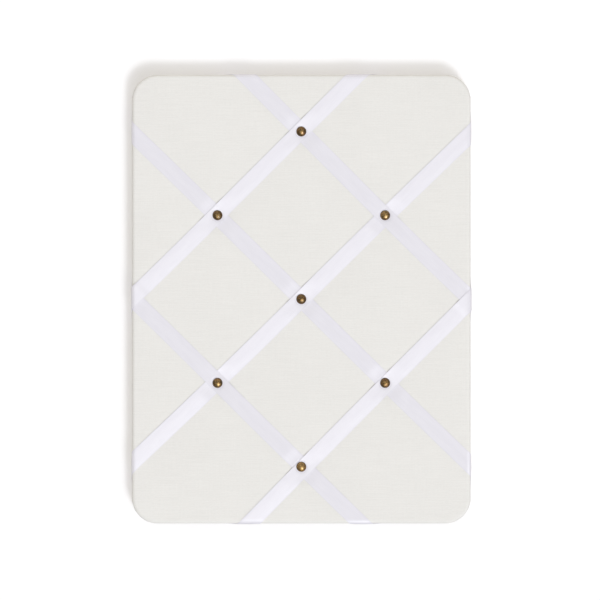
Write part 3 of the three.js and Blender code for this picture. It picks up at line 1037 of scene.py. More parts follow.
@dataclass
class Swell:
    """How far the cloth stands off the padded form between the ribbons, found by simulation."""

    form: BoardForm
    ribbon_half: float
    cell: float = 0.006
    edge_fade: float = 0.006
    pressure: float = 4.0
    tension: float = 60.0
    bending: float = 1.5
    mass: float = 0.2
    air_drag: float = 2.0
    quality: int = 6
    cap: float = 0.0013
    frames: int = 20
    heights: np.ndarray = field(init=False)
    spots: tuple[np.ndarray, np.ndarray] = field(init=False)

    def __post_init__(self) -> None:
        """Lay out the simulated cells and start from a flat cloth."""
        reach = np.array([self.form.width, self.form.height]) / 2 - self.form.front_roll
        counts = [int(round(2 * side / self.cell)) + 1 for side in reach]
        self.spots = tuple(np.linspace(-side, side, count) for side, count in zip(reach, counts))
        self.heights = np.zeros((counts[1], counts[0]))

    def ribbon_distance(self, flat: np.ndarray) -> np.ndarray:
        """Distance of flat places to the nearest ribbon's middle line.

        Args:
            flat: One row of across and up for each place.

        Returns:
            One distance for each place.
        """
        lines = []
        for slope in Slope:
            for up in self.form.ribbon_steps:
                offset = flat[:, 1] - slope.value * flat[:, 0] - up * self.form.pitch
                lines.append(np.abs(offset) / DIAGONAL)
        return np.min(lines, axis=0)

    def pad(self) -> tuple[bpy.types.Object, np.ndarray]:
        """Make the closed pad that is blown up, with its held points in a vertex group.

        Returns:
            The pad, and the flat places of its front.
        """
        columns, rows = self.spots
        wide, tall = len(columns), len(rows)
        flat = np.column_stack([np.tile(columns, tall), np.repeat(rows, wide)])
        front = np.column_stack([flat[:, 0], self.form.tuft(flat) - self.form.front, flat[:, 1]])
        back = np.column_stack([flat[:, 0], np.full(len(flat), -self.form.core_front), flat[:, 1]])
        faces = []
        for row in range(tall - 1):
            for column in range(wide - 1):
                a = row * wide + column
                faces.append((a, a + 1, a + wide + 1, a + wide))
                faces.append(tuple(len(flat) + i for i in (a, a + wide, a + wide + 1, a + 1)))
        bottom = list(range(wide))
        right = [row * wide + wide - 1 for row in range(tall)]
        top = [(tall - 1) * wide + column for column in range(wide - 1, -1, -1)]
        left = [row * wide for row in range(tall - 1, -1, -1)]
        edge = bottom + right[1:] + top[1:] + left[1:-1]
        for i, a in enumerate(edge):
            b = edge[(i + 1) % len(edge)]
            faces.append((a, len(flat) + a, len(flat) + b, b))
        pad = mesh_object("swelling_pad", np.vstack([front, back]), faces)
        # Cloth is free to swell where no ribbon, nail or edge holds it down.
        loose = self.ribbon_distance(flat) > self.ribbon_half
        loose &= self.form.nail_distance(flat) > self.form.tuft_floor
        loose &= self.form.run_of(flat) < -self.cell
        held = pad.vertex_groups.new(name="held")
        held.add([int(i) for i in np.flatnonzero(~loose)], 1.0, "REPLACE")
        held.add(list(range(len(flat), 2 * len(flat))), 1.0, "REPLACE")
        return pad, flat

    def simulate(self) -> None:
        """Blow the pad up from inside and keep how far its front has moved."""
        pad, flat = self.pad()
        cloth = pad.modifiers.new("swell", "CLOTH")
        cloth.settings.quality = self.quality
        cloth.settings.mass = self.mass
        cloth.settings.tension_stiffness = self.tension
        cloth.settings.compression_stiffness = self.tension
        cloth.settings.shear_stiffness = self.tension / 3
        cloth.settings.bending_stiffness = self.bending
        cloth.settings.air_damping = self.air_drag
        cloth.settings.use_pressure = True
        cloth.settings.uniform_pressure_force = self.pressure
        cloth.settings.vertex_group_mass = "held"
        cloth.settings.effector_weights.gravity = 0.0
        cloth.collision_settings.use_collision = False
        cloth.point_cache.frame_start = 1
        cloth.point_cache.frame_end = self.frames
        for number in range(1, self.frames + 1):
            bpy.context.scene.frame_set(number)
        blown = pad.evaluated_get(bpy.context.evaluated_depsgraph_get())
        moved = points_of(pad.data)[: len(flat), 1] - points_of(blown.data)[: len(flat), 1]
        LOG.info("cloth: the front swells by up to %.2f mm", 1000.0 * moved.max())
        capped = self.cap * np.tanh(np.maximum(moved, 0.0) / self.cap)
        self.heights = capped.reshape(self.heights.shape)
        bpy.context.scene.frame_set(1)
        discard(pad)

    def at(self, flat: np.ndarray) -> np.ndarray:
        """The swell at flat places, from smooth curves through the simulated cells.

        Args:
            flat: One row of across and up for each place.

        Returns:
            One height for each place, none past the rolled edge.
        """
        total = np.zeros(len(flat))
        weights, numbers = [], []
        for places, values in zip(self.spots, flat.T):
            step = (values - places[0]) / (places[1] - places[0])
            first = np.clip(np.floor(step), 0, len(places) - 2).astype(int)
            t = np.clip(step - first, 0.0, 1.0)
            # Weights of a cubic spline on the four cells round each place.
            weights.append(
                [
                    (1 - t) ** 3 / 6,
                    (3 * t**3 - 6 * t**2 + 4) / 6,
                    (-3 * t**3 + 3 * t**2 + 3 * t + 1) / 6,
                    t**3 / 6,
                ]
            )
            numbers.append([np.clip(first + i, 0, len(places) - 1) for i in (-1, 0, 1, 2)])
        for i in range(4):
            for j in range(4):
                total += weights[0][i] * weights[1][j] * self.heights[numbers[1][j], numbers[0][i]]
        return total * smooth(-self.form.run_of(flat) / self.edge_fade)


@dataclass
class PaddedCover:
    """The cloth over the board's front, sides and back edge, and the wadding under it."""

    form: BoardForm
    swell: Swell
    square: float = 0.003
    ring_counts: tuple[int, ...] = (7, 9, 4, 6, 6)
    gather_folds: int = 5
    gather_depth: float = 0.0012
    gather_start: float = 0.6
    gather_lean: float = 0.9
    gather_crease: float = 1.4

    def runs(self, end: float) -> tuple[float, ...]:
        """Runs of the rings from the squares to an end, closer where the cloth bends.

        Args:
            end: Run of the last ring.

        Returns:
            The runs, in order.
        """
        form = self.form
        stops = (form.front_roll - form.corner, 0.0, form.front_arc, form.side_end, form.back_run, end)
        runs = []
        for first, last, count in zip(stops, stops[1:], self.ring_counts):
            if last > first:
                runs += list(np.linspace(first, last, count + 1)[1:])
        return tuple(runs)

    def gathers(self, flat: np.ndarray) -> np.ndarray:
        """Small folds where the cloth is drawn together round the corners.

        Args:
            flat: One row of across and up for each place.

        Returns:
            One lift for each place.
        """
        out = np.abs(flat) - self.form.half
        angle = np.arctan2(np.maximum(out[:, 1], 0.0), np.maximum(out[:, 0], 0.0))
        in_corner = (out > 0).all(axis=1)
        run = self.form.run_of(flat)
        start = self.gather_start * self.form.front_arc
        grown = smooth((run - start) / (self.form.back_run - start))
        phase = 2 * np.pi * (angle / (math.pi / 2) * self.gather_folds)
        fold = (0.5 - 0.5 * np.cos(phase + self.gather_lean * np.sin(phase))) ** self.gather_crease
        return np.where(in_corner, self.gather_depth * grown * fold, 0.0)

    def build_cloth(self, finish: bpy.types.Material) -> bpy.types.Object:
        """Wrap the cloth round the board.

        Args:
            finish: The cloth's material.

        Returns:
            The cloth.
        """
        pattern = ClothPattern(self.form, self.square, self.runs(self.form.cut_run))
        flat, faces = pattern.lay()
        places = self.form.wrap(flat, self.swell.at(flat) + self.gathers(flat))
        cloth = mesh_object("cover_cloth", places, faces)
        lay_uv(cloth, "cloth", flat)
        thick = cloth.modifiers.new("thickness", "SOLIDIFY")
        thick.thickness = self.form.fabric
        thick.offset = -1.0
        apply_modifiers(cloth)
        shade(cloth, SOFT_FOLD)
        cloth.data.materials.append(finish)
        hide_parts("fabric_cover")
        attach(cloth, "board")
        return cloth

    def build_wadding(self, finish: bpy.types.Material) -> bpy.types.Object:
        """Make the wadding that lies over the core's front and edges.

        Args:
            finish: The wadding's material.

        Returns:
            The wadding.
        """
        form = self.form
        pattern = ClothPattern(form, 2 * self.square, self.runs(form.back_run))
        flat, faces = pattern.lay()
        under = form.fabric + form.lay_gap
        places = form.wrap(flat, self.swell.at(flat) - under)
        # From its last ring the pad's inside goes forward to the core's front, where one face closes it.
        ring = len(pattern.rim(*(int(round(2 * side / pattern.square)) for side in form.half)))
        last = list(range(len(flat) - ring, len(flat)))
        deep = places[last].copy()
        deep[:, 1] = -(form.core_front + form.lay_gap)
        count = len(places)
        inner = list(range(count, count + ring))
        for i in range(ring):
            j = (i + 1) % ring
            faces.append((last[i], inner[i], inner[j], last[j]))
        faces.append(tuple(inner))
        pad = mesh_object("wadding_pad", np.vstack([places, deep]), faces)
        shade(pad, SOFT_FOLD)
        pad.data.materials.append(finish)
        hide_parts("padding")
        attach(pad, "board")
        return pad


@dataclass(frozen=True)
class RibbonLine:
    """The course of one ribbon: its slope, its height on the middle line, and its layer."""

    name: str
    slope: Slope
    up: int
    layer: int
    drift: tuple[float, float, float]


@dataclass(frozen=True)
class Crossing:
    """Where a ribbon crosses another: how far along, if it lies on top, and if a nail holds both."""

    along: float
    on_top: bool
    nailed: bool


@dataclass
class RibbonLattice:
    """Six satin ribbons that cross on the front and go round the edges.

    They are laid by hand, so each drifts a little from its line. The drift is given for its left
    end, its middle and its right end. Nails stand at most one pitch from the board's middle line,
    and bare crossings stand two pitches from it, at the edge.
    """

    form: BoardForm
    swell: Swell
    width: float = 0.0183
    thickness: float = 0.0005
    lay: float = 0.0001
    end: float = 0.021
    lift_margin: float = 0.0018
    side_margin: float = 0.0008
    edge_ramp: float = 0.009
    side_ramp: float = 0.0015
    nail_ramp: float = 0.012
    flat_ramp: float = 0.012
    row: float = 0.00125
    columns: int = 12
    crown: float = 0.00028
    drift_bend: float = 1.8
    nail_reach: float = 1.5
    search_step: float = 0.0001
    lines: tuple[RibbonLine, ...] = (
        RibbonLine("rising_upper", Slope.RISING, 2, 3, (0.0020, 0.0009, 0.0005)),
        RibbonLine("rising_middle", Slope.RISING, 0, 1, (0.0046, -0.0001, -0.0033)),
        RibbonLine("rising_lower", Slope.RISING, -2, 3, (-0.0038, -0.0021, -0.0021)),
        RibbonLine("falling_upper", Slope.FALLING, 2, 2, (0.0004, -0.0004, 0.0011)),
        RibbonLine("falling_middle", Slope.FALLING, 0, 0, (-0.0024, 0.0, 0.0027)),
        RibbonLine("falling_lower", Slope.FALLING, -2, 2, (-0.0003, 0.0005, 0.0022)),
    )

    def straight_place(self, line: RibbonLine, along: np.ndarray, across: np.ndarray) -> np.ndarray:
        """Flat places on the board's cloth of places on a ribbon that keeps to its line.

        Args:
            line: The ribbon.
            along: Distances along the ribbon from its middle.
            across: Distances from its middle line.

        Returns:
            One row of across and up for each place.
        """
        slope = line.slope.value
        offset = line.up * self.form.pitch
        middle = np.array([-slope * offset / 2, offset / 2])
        run = np.array([1.0, slope]) / DIAGONAL
        side = np.array([-slope, 1.0]) / DIAGONAL
        return middle + along[:, None] * run + across[:, None] * side

    def reach(self, line: RibbonLine, end: int, run: float) -> float:
        """Distance along a ribbon to where it has run a way round the edge.

        Args:
            line: The ribbon.
            end: Minus one for the left end, one for the right.
            run: The run, from where the front starts to roll over.

        Returns:
            The distance, signed.
        """
        tries = end * np.arange(0.0, self.form.width + self.form.height, self.search_step)
        runs = self.form.run_of(self.straight_place(line, tries, np.zeros(len(tries))))
        return float(tries[np.argmax(runs >= run)])

    def flat_place(self, line: RibbonLine, along: np.ndarray, across: np.ndarray) -> np.ndarray:
        """Flat places on the board's cloth of places on a ribbon as it was laid.

        Args:
            line: The ribbon.
            along: Distances along the ribbon from its middle.
            across: Distances from its middle line.

        Returns:
            One row of across and up for each place.
        """
        left, middle, right = line.drift
        edge = np.where(along < 0, self.reach(line, -1, 0.0), self.reach(line, 1, 0.0))
        share = np.minimum(along / edge, 1.0) ** self.drift_bend
        drift = middle + (np.where(along < 0, left, right) - middle) * share
        return self.straight_place(line, along, across + drift)

    def crossings(self, line: RibbonLine) -> list[Crossing]:
        """Where a ribbon crosses the others.

        Args:
            line: The ribbon.

        Returns:
            The crossings, nailed ones on the front and bare ones at the board's edge.
        """
        found = []
        for other in self.lines:
            if other.slope is line.slope:
                continue
            across = line.slope.value * (other.up - line.up) * self.form.pitch / 2
            centre = -line.slope.value * line.up * self.form.pitch / 2
            nailed = abs(across) < self.nail_reach * self.form.pitch
            found.append(Crossing((across - centre) * DIAGONAL, line.layer > other.layer, nailed))
        return found

    def nearness(self, along: np.ndarray, crossings: list[float], ramp: float) -> np.ndarray:
        """One on the given crossings, and less over a ramp beyond them.

        Args:
            along: Distances along the ribbon.
            crossings: Distances to the crossings.
            ramp: Length of the ramp.

        Returns:
            One share for each distance.
        """
        share = np.zeros(len(along))
        held = self.width / 2 + self.lift_margin
        for crossing in crossings:
            share = np.maximum(share, 1.0 - smooth((np.abs(along - crossing) - held) / ramp))
        return share

    def edge_nearness(self, along: np.ndarray, crossings: list[float]) -> np.ndarray:
        """One on crossings at the board's edge, eased slowly on the front and quickly on the side.

        Args:
            along: Distances along the ribbon.
            crossings: Distances to the crossings.

        Returns:
            One share for each distance.
        """
        share = np.zeros(len(along))
        for crossing in crossings:
            beyond = (along - crossing) * math.copysign(1.0, crossing)
            on_front = (-beyond - self.width / 2 - self.lift_margin) / self.edge_ramp
            on_side = (beyond - self.width / 2 - self.side_margin) / self.side_ramp
            share = np.maximum(share, 1.0 - smooth(np.maximum(on_front, on_side)))
        return share

    def build_ribbon(self, line: RibbonLine, finish: bpy.types.Material) -> bpy.types.Object:
        """Lay one ribbon over the cloth and round the edges.

        Args:
            line: The ribbon.
            finish: The ribbon's material.

        Returns:
            The ribbon.
        """
        last = self.form.back_run + self.end - self.form.back_roll
        start, end = self.reach(line, -1, last), self.reach(line, 1, last)
        rows = int(round((end - start) / self.row))
        stations = np.linspace(start, end, rows + 1)
        sides = np.linspace(-self.width / 2, self.width / 2, self.columns + 1)
        along = np.repeat(stations, self.columns + 1)
        across = np.tile(sides, rows + 1)
        flat = self.flat_place(line, along, across)
        # A ribbon is raised over those that it covers, and its crown is pressed flat at each crossing.
        found = self.crossings(line)
        nailed = [crossing.along for crossing in found if crossing.on_top and crossing.nailed]
        bare = [crossing.along for crossing in found if crossing.on_top and not crossing.nailed]
        raised = np.maximum(self.nearness(along, nailed, self.nail_ramp), self.edge_nearness(along, bare))
        pressed = self.nearness(along, [crossing.along for crossing in found], self.flat_ramp)
        lift = self.lay + (self.thickness + self.lay) * raised
        crown = self.crown * (1.0 - pressed) * (1.0 - (2 * across / self.width) ** 2)
        places = self.form.wrap(flat, self.swell.at(flat) + lift + crown)
        wide = self.columns + 1
        faces = []
        for row in range(rows):
            for column in range(self.columns):
                first = row * wide + column
                faces.append((first, first + wide, first + wide + 1, first + 1))
        ribbon = mesh_object(f"satin_{line.name}", places, faces)
        lay_uv(ribbon, "ribbon", np.column_stack([across + self.width / 2, along - start]))
        thick = ribbon.modifiers.new("thickness", "SOLIDIFY")
        thick.thickness = self.thickness
        thick.offset = 1.0
        apply_modifiers(ribbon)
        shade(ribbon, SOFT_FOLD)
        ribbon.data.materials.append(finish)
        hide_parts(f"ribbon_{line.name}")
        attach(ribbon, "board")
        return ribbon

    def build(self, finish: bpy.types.Material) -> list[bpy.types.Object]:
        """Lay all the ribbons.

        Args:
            finish: The ribbons' material.

        Returns:
            The ribbons.
        """
        return [self.build_ribbon(line, finish) for line in self.lines]


@dataclass
class DomedNails:
    """Seven upholstery nails with hollow domed heads, one at each crossing on the front."""

    form: BoardForm
    head: float = 0.00565
    height: float = 0.004
    wall: float = 0.0007
    shank: float = 0.0009
    length: float = 0.0135
    tip: float = 0.003
    seat: float = 0.0270
    hollow: float = 0.7
    floor: float = 0.45
    point: float = 0.08
    rim_band: float = 0.0002
    rim_round: float = 0.0003
    turn: float = 0.8
    polish: tuple[float, ...] = (0.44, 0.40, 0.84, 0.16, 0.55, 0.42, 1.00)

    def on_rim(self, middle: Vector, _way: Vector) -> bool:
        """Whether an edge lies on the head's outer rim."""
        return abs(middle.y) < TOUCH and math.hypot(middle.x, middle.z) > self.head - self.rim_band

    def model(self) -> bpy.types.Object:
        """Model one nail with its rim at the origin.

        Returns:
            The nail.
        """
        work = Workpiece(
            "nail_model",
            bpy.ops.mesh.primitive_uv_sphere_add,
            segments=48,
            ring_count=32,
            radius=self.head,
            rotation=(math.pi / 2, 0.0, 0.0),
        )
        deep = self.hollow * self.height
        work.everything()
        bpy.ops.mesh.bisect(plane_co=(0, 0, 0), plane_no=(0, 1, 0), clear_outer=True, use_fill=True)
        work.everything().scale((1.0, self.height / self.head, 1.0), (0.0, 0.0, 0.0))
        work.pick(Pick.FACES, looks_back).inset(self.wall)
        work.push((0.0, -deep, 0.0)).scale((self.floor, 1.0, self.floor), (0.0, -deep, 0.0))
        work.inset(self.floor * (self.head - self.wall) - self.shank)
        work.push((0.0, deep + self.length - self.tip, 0.0))
        work.push((0.0, self.tip, 0.0)).scale((self.point, 1.0, self.point), (0.0, self.length, 0.0))
        work.pick(Pick.EDGES, self.on_rim).bevel(self.rim_round, segments=3)
        work.everything()
        bpy.ops.mesh.normals_make_consistent(inside=False)
        nail = work.done()
        points = points_of(nail.data)
        angle = np.arctan2(points[:, 2], points[:, 0]) / (2 * math.pi)
        radius = np.hypot(points[:, 0], points[:, 2]) / self.head
        lay_uv(nail, "head", np.column_stack([angle, np.where(points[:, 1] > TOUCH, 1.0, radius)]))
        return nail

    def build(self, finish: bpy.types.Material) -> list[bpy.types.Object]:
        """Drive a copy of the nail at each place.

        Args:
            finish: The nails' material.

        Returns:
            The nails.
        """
        model = self.model()
        model.data.materials.append(finish)
        nails = []
        for number, (name, (x, z)) in enumerate(self.form.nails.items()):
            place = Matrix.Translation((x, -self.seat, z)) @ Matrix.Rotation(self.turn * number, 4, "Y")
            nail = copy_to(model, f"domed_nail_{name}", place)
            shine = nail.data.attributes.new("polish", "FLOAT", "POINT")
            count = len(nail.data.vertices)
            shine.data.foreach_set("value", np.full(count, self.polish[number], np.float32))
            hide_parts(f"nail_{name}")
            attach(nail, "board")
            nails.append(nail)
        discard(model)
        return nails


@dataclass
class BackCover:
    """The hardboard that closes the back, with the staples that hold it."""

    form: BoardForm
    inset: float = 0.009
    rear: float = 0.005
    thickness: float = 0.002
    edge: float = 0.0005
    crown: float = 0.010
    leg: float = 0.008
    wire: float = 0.0007
    band: float = 0.0012
    bend: float = 0.0006
    wire_edge: float = 0.00012
    staples: int = 8
    slender: float = 3.0
    sharp: float = 30.0

    def build_board(self, finish: bpy.types.Material) -> bpy.types.Object:
        """Model the hardboard with rounded corners and a broken edge.

        Args:
            finish: The hardboard's material.

        Returns:
            The hardboard.
        """
        size = (self.form.width - 2 * self.inset, self.thickness, self.form.height - 2 * self.inset)
        work = Workpiece(
            "hardboard_back",
            bpy.ops.mesh.primitive_cube_add,
            size=1.0,
            location=(0.0, -self.rear - self.thickness / 2, 0.0),
            scale=size,
        )
        work.pick(Pick.EDGES, runs_through).bevel(self.form.corner - self.inset, segments=14)
        work.pick(Pick.FACES, looks_back)
        bpy.ops.mesh.region_to_loop()
        work.bevel(self.edge, segments=3)
        board = work.done(self.sharp)
        board.data.materials.append(finish)
        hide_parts("back_cover")
        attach(board, "board")
        return board

    def staple_model(self) -> bpy.types.Object:
        """Model one staple from flat wire, with its crown along X and its legs forward.

        Returns:
            The staple.
        """
        side = (self.crown - self.wire) / 2
        top = self.wire / 2
        work = Workpiece(
            "staple_model",
            bpy.ops.mesh.primitive_plane_add,
            size=1.0,
            location=(-side, -(self.leg - top), 0.0),
            rotation=(math.pi / 2, 0.0, 0.0),
            scale=(self.wire, self.band, 1.0),
        )
        work.open_section()
        work.push((0.0, self.leg - top - self.bend, 0.0))
        work.turn(-math.pi / 2, (self.bend - side, -self.bend, 0.0), (0.0, 0.0, 1.0), steps=5)
        work.push((2 * (side - self.bend), 0.0, 0.0))
        work.turn(-math.pi / 2, (side - self.bend, -self.bend, 0.0), (0.0, 0.0, 1.0), steps=5)
        work.push((0.0, -(self.leg - top - self.bend), 0.0))
        work.close_ends()
        work.pick(Pick.EDGES, lambda middle, way: abs(abs(middle.z) - self.band / 2) < TOUCH)
        work.bevel(self.wire_edge, segments=2)
        return work.done()

    def build_staples(self, finish: bpy.types.Material) -> list[bpy.types.Object]:
        """Drive a staple at each place where the CAD has one.

        Args:
            finish: The staples' material.

        Returns:
            The staples.
        """
        model = self.staple_model()
        model.data.materials.append(finish)
        staples = []
        for number in range(1, self.staples + 1):
            low, high = (Vector(corner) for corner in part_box(f"back_staple_{number}"))
            middle = (low + high) / 2
            # A slender staple stands upright, and the others stand across a corner of the board.
            upright = (high.z - low.z) > self.slender * (high.x - low.x)
            corner = -math.copysign(1.0, middle.x * middle.z) * math.pi / 4
            turn = Matrix.Rotation(-(math.pi / 2 if upright else corner), 4, "Y")
            place = Matrix.Translation((middle.x, -self.rear + self.wire / 2, middle.z)) @ turn
            staple = copy_to(model, f"wire_staple_{number}", place)
            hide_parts(f"back_staple_{number}")
            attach(staple, "board")
            staples.append(staple)
        discard(model)
        return staples


@dataclass
class Hanger:
    """A folded strap, a D-ring that turns in it, and the screw that holds the strap."""

    side: Side
    spacing: float = 0.200
    bar_height: float = 0.1825
    bar_depth: float = 0.00265
    cover_depth: float = 0.005
    wire: float = 0.0025
    ring_half: float = 0.008
    ring_side: float = 0.005
    ring_corner: float = 0.0025
    butt: float = 0.0004
    lean: float = math.radians(3.53)
    strap_width: float = 0.010
    sheet: float = 0.0008
    slit: float = 0.0002
    loop: float = 0.00235
    strap_bend: float = 0.005
    strap_length: float = 0.0135
    end_round: float = 0.49
    sheet_edge: float = 0.00015
    steep: float = 0.9
    screw_drop: float = 0.008
    screw_head: float = 0.0027
    screw_height: float = 0.0019
    screw_seat: float = 0.0029
    screw_shank: float = 0.00145
    screw_length: float = 0.011
    screw_round: float = 0.0013
    screw_tip: float = 0.25
    screw_point: float = 0.08
    screw_sharp: float = 32.0
    recess: Place = (0.0030, 0.0022, 0.00065)
    recess_taper: float = 0.6
    recess_turn: float = 0.4

    @property
    def place(self) -> Matrix:
        """The hanger's place: the middle of the ring's bar, on the wall plane."""
        return Matrix.Translation((self.side.value * self.spacing / 2, 0.0, self.bar_height))

    def build_ring(self, finish: bpy.types.Material) -> bpy.types.Object:
        """Bend the ring from round wire.

        Args:
            finish: The wire's material.

        Returns:
            The ring.
        """
        work = Workpiece(
            f"d_ring_{self.side.label}",
            bpy.ops.mesh.primitive_circle_add,
            vertices=20,
            radius=self.wire / 2,
            location=(self.butt / 2, 0.0, 0.0),
            rotation=(0.0, math.pi / 2, 0.0),
        )
        work.everything()
        straight = self.ring_half - self.ring_corner
        up = self.ring_side - self.ring_corner
        axis = (0.0, -1.0, 0.0)
        work.push((straight - self.butt / 2, 0.0, 0.0))
        work.turn(math.pi / 2, (straight, 0.0, self.ring_corner), axis, steps=8)
        work.push((0.0, 0.0, up))
        work.turn(math.pi, (0.0, 0.0, self.ring_side), axis, steps=32)
        work.push((0.0, 0.0, -up))
        work.turn(math.pi / 2, (-straight, 0.0, self.ring_corner), axis, steps=8)
        work.push((straight - self.butt / 2, 0.0, 0.0))
        work.close_ends()
        ring = work.done()
        leaning = Matrix.Rotation(self.lean, 4, "X")
        ring.data.transform(Matrix.Translation((0.0, -self.bar_depth, 0.0)) @ leaning)
        ring.data.transform(self.place)
        ring.data.materials.append(finish)
        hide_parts(f"hanger_ring_{self.side.label}")
        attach(ring, f"{self.side.label}_ring")
        return ring

    def build_strap(self, finish: bpy.types.Material) -> bpy.types.Object:
        """Fold the strap from a strip of sheet, with both leaves rounded at the end.

        Args:
            finish: The sheet's material.

        Returns:
            The strap.
        """
        half = self.sheet / 2
        work = Workpiece(
            f"folded_strap_{self.side.label}",
            bpy.ops.mesh.primitive_plane_add,
            size=1.0,
            location=(0.0, half, -self.strap_length),
            scale=(self.strap_width, self.sheet, 1.0),
        )
        work.open_section()
        axis = (1.0, 0.0, 0.0)
        drop = 2 * self.loop - 2 * self.sheet - self.slit
        angle = 2 * math.atan(drop / self.strap_bend)
        radius = self.strap_bend / (2 * math.sin(angle))
        outer = 2 * self.loop - half
        inner = 1.5 * self.sheet + self.slit
        work.push((0.0, 0.0, self.strap_length))
        work.turn(-math.pi, (0.0, self.loop, 0.0), axis, steps=16)
        work.turn(-angle, (0.0, outer - radius, 0.0), axis, steps=6)
        work.turn(angle, (0.0, inner + radius, -self.strap_bend), axis, steps=6)
        work.push((0.0, 0.0, self.strap_bend - self.strap_length))
        work.close_ends()
        end = TOUCH - self.strap_length
        work.pick(Pick.EDGES, lambda middle, way: middle.z < end and runs_through(middle, way))
        work.bevel(self.end_round * self.strap_width, segments=9)
        rims = self.strap_width / 2 - TOUCH
        work.pick(Pick.EDGES, lambda middle, way: abs(middle.x) > rims and abs(way.y) < self.steep)
        work.bevel(self.sheet_edge, segments=2)
        strap = work.done()
        strap.data.transform(self.place @ Matrix.Translation((0.0, -self.cover_depth, 0.0)))
        strap.data.materials.append(finish)
        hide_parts(f"hanger_strap_{self.side.label}")
        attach(strap, "board")
        return strap

    def build_screw(self, finish: bpy.types.Material) -> bpy.types.Object:
        """Model the pan-head screw with a cross recess.

        Args:
            finish: The screw's material.

        Returns:
            The screw.
        """
        work = Workpiece(
            f"pan_screw_{self.side.label}",
            bpy.ops.mesh.primitive_cylinder_add,
            vertices=40,
            radius=self.screw_head,
            depth=self.screw_height,
            location=(0.0, self.screw_height / 2, 0.0),
            rotation=(math.pi / 2, 0.0, 0.0),
        )
        work.pick(Pick.FACES, looks_back)
        bpy.ops.mesh.region_to_loop()
        work.bevel(self.screw_round, segments=7)
        work.pick(Pick.FACES, looks_ahead).inset(self.screw_head - self.screw_shank)
        tip = self.screw_tip * self.screw_length
        narrow = (self.screw_point, 1.0, self.screw_point)
        work.push((0.0, tip - self.screw_length, 0.0))
        work.push((0.0, -tip, 0.0)).scale(narrow, (0.0, -self.screw_length, 0.0))
        screw = work.done()
        taper = (self.recess_taper, 1.0, self.recess_taper)
        for turn in (self.recess_turn, self.recess_turn + math.pi / 2):
            slot = Workpiece(
                "recess_cutter",
                bpy.ops.mesh.primitive_cube_add,
                size=1.0,
                location=(0.0, self.screw_height, 0.0),
                rotation=(0.0, turn, 0.0),
                scale=self.recess,
            )
            slot.pick(Pick.FACES, looks_ahead).scale(taper, (0.0, 0.0, 0.0))
            cutter = slot.done()
            cut = screw.modifiers.new("recess", "BOOLEAN")
            cut.operation = "DIFFERENCE"
            cut.object = cutter
            apply_modifiers(screw)
            discard(cutter)
        shade(screw, self.screw_sharp)
        screw.data.transform(self.place @ Matrix.Translation((0.0, -self.screw_seat, -self.screw_drop)))
        screw.data.materials.append(finish)
        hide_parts(f"hanger_screw_{self.side.label}")
        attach(screw, "board")
        return screw

    def build(self, finish: bpy.types.Material) -> list[bpy.types.Object]:
        """Make the hanger's three pieces.

        Args:
            finish: The steel's material.

        Returns:
            The pieces.
        """
        return [self.build_ring(finish), self.build_strap(finish), self.build_screw(finish)]


@dataclass
class WallBumpers:
    """Two felt pads that keep the lower corners off the wall."""

    radius: float = 0.006
    height: float = 0.005
    across: float = 0.1485
    up: float = -0.2105
    rounding: float = 0.0011
    face_inset: float = 0.0012
    face_share: float = 0.98
    sharp: float = 45.0

    def build(self, finish: bpy.types.Material) -> list[bpy.types.Object]:
        """Cut both pads, with their edges rounded.

        Args:
            finish: The felt's material.

        Returns:
            The pads.
        """
        work = Workpiece(
            "bumper_model",
            bpy.ops.mesh.primitive_cylinder_add,
            vertices=48,
            radius=self.radius,
            depth=self.height,
            location=(0.0, -self.height / 2, 0.0),
            rotation=(math.pi / 2, 0.0, 0.0),
        )
        work.pick(Pick.FACES, looks_back)
        bpy.ops.mesh.region_to_loop()
        work.bevel(self.rounding, segments=5)
        work.pick(Pick.FACES, looks_back).inset(self.face_inset)
        work.push((0.0, 0.0, 0.0)).scale((self.face_share, 1.0, self.face_share), (0.0, 0.0, 0.0))
        model = work.done(self.sharp)
        model.data.materials.append(finish)
        pads = []
        for side in Side:
            place = Matrix.Translation((side.value * self.across, 0.0, self.up))
            pad = copy_to(model, f"felt_bumper_{side.label}", place)
            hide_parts(f"wall_bumper_{side.label}")
            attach(pad, "board")
            pads.append(pad)
        discard(model)
        return pads


@dataclass
class HiddenParts:
    """CAD parts that stay as they are, inside the padding or under the back cover."""

    ribbon_staples: int = 12
    fabric_staples: int = 8

    def dress(self, fibreboard: bpy.types.Material, steel: bpy.types.Material) -> list[bpy.types.Object]:
        """Give the core and the hidden staples their finishes.

        Args:
            fibreboard: The core's material.
            steel: The staples' material.

        Returns:
            The dressed objects.
        """
        names = [f"ribbon_staple_{i + 1}" for i in range(self.ribbon_staples)]
        names += [f"fabric_staple_{i + 1}" for i in range(self.fabric_staples)]
        dressed = []
        for name, finish in [("core_board", fibreboard)] + [(name, steel) for name in names]:
            part = bpy.data.objects[name]
            part.data.materials.clear()
            part.data.materials.append(finish)
            dressed.append(part)
        return dressed


